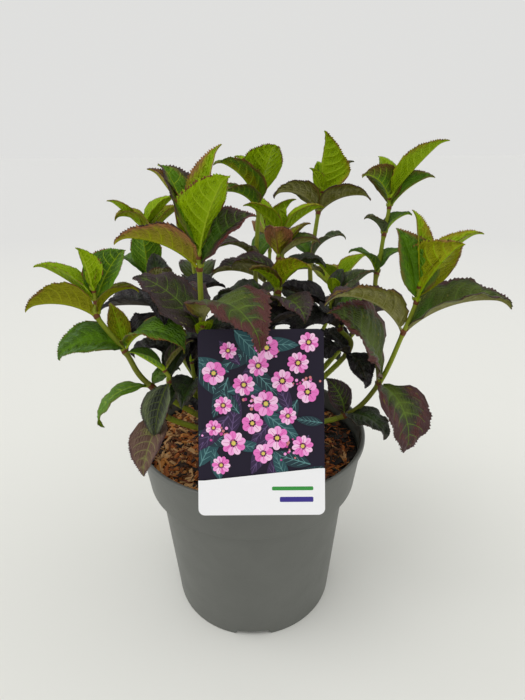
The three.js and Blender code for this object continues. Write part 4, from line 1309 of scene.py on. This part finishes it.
def add_print(heap):
    """A generic print: veined leaves in slate and violet under round many-petalled pink blossoms with loose
    beads between them, over a plain white foot with two plain bars"""
    rng = np.random.default_rng(PRINT_SEED)
    level = CARD_THICKNESS + PRINT_STEP
    half = CARD_WIDTH / 2

    def lay(shape, turn, x, y, look):
        """One more shape over those before it"""
        nonlocal level
        level += PRINT_STEP / 4
        add_patch(heap, spun(shape, turn, x, y), level, look)

    add_patch(heap, round_rectangle(-half, 0, half, CARD_HEIGHT, CARD_CORNER), level, "print_ground")
    for index in range(PRINTED_LEAVES):
        x = rng.uniform(-44, 44)
        y = 30 + 108 * ((index * GOLDEN_STEP) % 1)
        turn = rng.uniform(0, 2 * np.pi)
        outline, veins = printed_leaf(rng.uniform(*LEAF_LENGTHS))
        body, line = LEAF_LOOKS[index % 3]
        lay(outline, turn, x, y, body)
        for vein in veins:
            lay(vein, turn, x, y, line)
    for index in range(PRINTED_BEADS):
        x, y = BEAD_SWARMS[index % 5] + rng.normal(0, (6, 5))
        lay(disc(rng.uniform(*BEAD_RADII), 10), 0, x, y, BEAD_LOOKS[index % 3])
    for index in range(PRINTED_BLOSSOMS):
        x = -40 + 80 * ((index * GOLDEN_REST + 0.1) % 1) + rng.uniform(-3, 3)
        y = 40 + 5.3 * index + rng.uniform(-3, 3)
        wide = rng.uniform(*BLOSSOM_RADII)
        count = int(rng.integers(7, 11))
        start = rng.uniform(0, 2 * np.pi)
        petal = disc(1, 12) * (wide * 0.34, wide * 2.5 / count) + (wide * 0.62, 0)
        for step in range(count):
            turn = start + 2 * np.pi * step / count
            lay(petal, turn, x, y, PETAL_LOOKS[step % 3])
            lay(stroke(wide * 0.2, 0, wide * 0.8, 0, 0.5), turn, x, y, "print_magenta")
        lay(disc(wide * 0.17, 12), 0, x, y, "print_yellow")
    foot = round_rectangle(-half, 0, half, PRINT_FOOT, CARD_CORNER)
    tops = np.where(foot[:, 0] > 0, WHITE_FOOT_RIGHT, WHITE_FOOT_LEFT)
    foot[:, 1] = np.where(foot[:, 1] > PRINT_FOOT / 2, tops, foot[:, 1])
    add_patch(heap, foot, level + PRINT_STEP, "card_white")
    for look, box in BARS.items():
        add_patch(heap, round_rectangle(*box, 1), level + 2 * PRINT_STEP, look)


# The stage, the lights and the camera
FLOOR_COLOUR = (233, 233, 228)
FAR_FLOOR_COLOUR = (223, 223, 222)
FLOOR_SIZE = 60
FLOOR_NEAR = 0.5
FLOOR_FAR = 2.5
SKY_COLOUR = (1, 1, 0.985, 1)
SKY_STRENGTH = 0.74
# Each light: the way it shines, the angle that it spreads over and its strength
LIGHTS = {
    "key": ((0.4, 0.25, -1), 35, 0.5),
    "side": ((1, -0.1, -0.35), 50, 0.64),
    "far_side": ((-1, -0.1, -0.3), 50, 0.45),
    "fill": ((-0.5, 1, -0.45), 80, 0.12),
}
# The photograph's view, fitted to the pot's ellipses, with the lens in the picture's own pixels
CAMERA_PLACE = (0.01094, -0.4066, 0.4427)
CAMERA_DOWN = 22.93
CAMERA_ROLL = -0.0066
SENSOR = 36
LENS_PIXELS = 476.88
PICTURE_PIXELS = 700


def floor_material():
    """Pale round the pot, and of the sky's own tone far off, so that no line shows where the two meet"""
    material, tree, shader = new_material("pale_floor", FLOOR_COLOUR, 0.9, 0.1)
    places = node(tree, "TexCoord")
    away = node(tree, "VectorMath", operation="LENGTH")
    share = node(tree, "MapRange", From_Min=FLOOR_NEAR, From_Max=FLOOR_FAR)
    link(tree, (places, "Object", away, 0), (away, "Value", share, "Value"))
    colour_ramp(tree, shader, share, "Result", [(0, FLOOR_COLOUR), (1, FAR_FLOOR_COLOUR)])
    return material


def make_stage():
    """A pale floor without an end under an even pale sky, and soft light from the upper left"""
    bpy.ops.mesh.primitive_plane_add(size=FLOOR_SIZE)
    floor = bpy.context.object
    floor.name = "floor"
    floor.data.materials.append(floor_material())
    world = bpy.data.worlds.new("studio")
    bpy.context.scene.world = world
    world.use_nodes = True
    background = world.node_tree.nodes["Background"]
    background.inputs["Color"].default_value = SKY_COLOUR
    background.inputs["Strength"].default_value = SKY_STRENGTH
    for name, (way, angle, strength) in LIGHTS.items():
        light = bpy.data.lights.new(name, "SUN")
        light.angle = math.radians(angle)
        light.energy = strength
        add_object(name, light).rotation_euler = Vector(way).to_track_quat("-Z", "Y").to_euler()


def make_camera():
    """The photograph's own view"""
    camera = add_object("camera", bpy.data.cameras.new("camera"))
    camera.data.sensor_width = SENSOR
    camera.data.lens = SENSOR * LENS_PIXELS / PICTURE_PIXELS
    tilt = Matrix.Rotation(math.radians(90 - CAMERA_DOWN), 4, "X") @ Matrix.Rotation(CAMERA_ROLL, 4, "Z")
    camera.matrix_world = Matrix.Translation(CAMERA_PLACE) @ tilt
    bpy.context.scene.camera = camera


make_camera()
make_stage()
make_pot()
make_soil()
make_card()
grow_plant()
bpy.context.scene.view_settings.view_transform = "Standard"
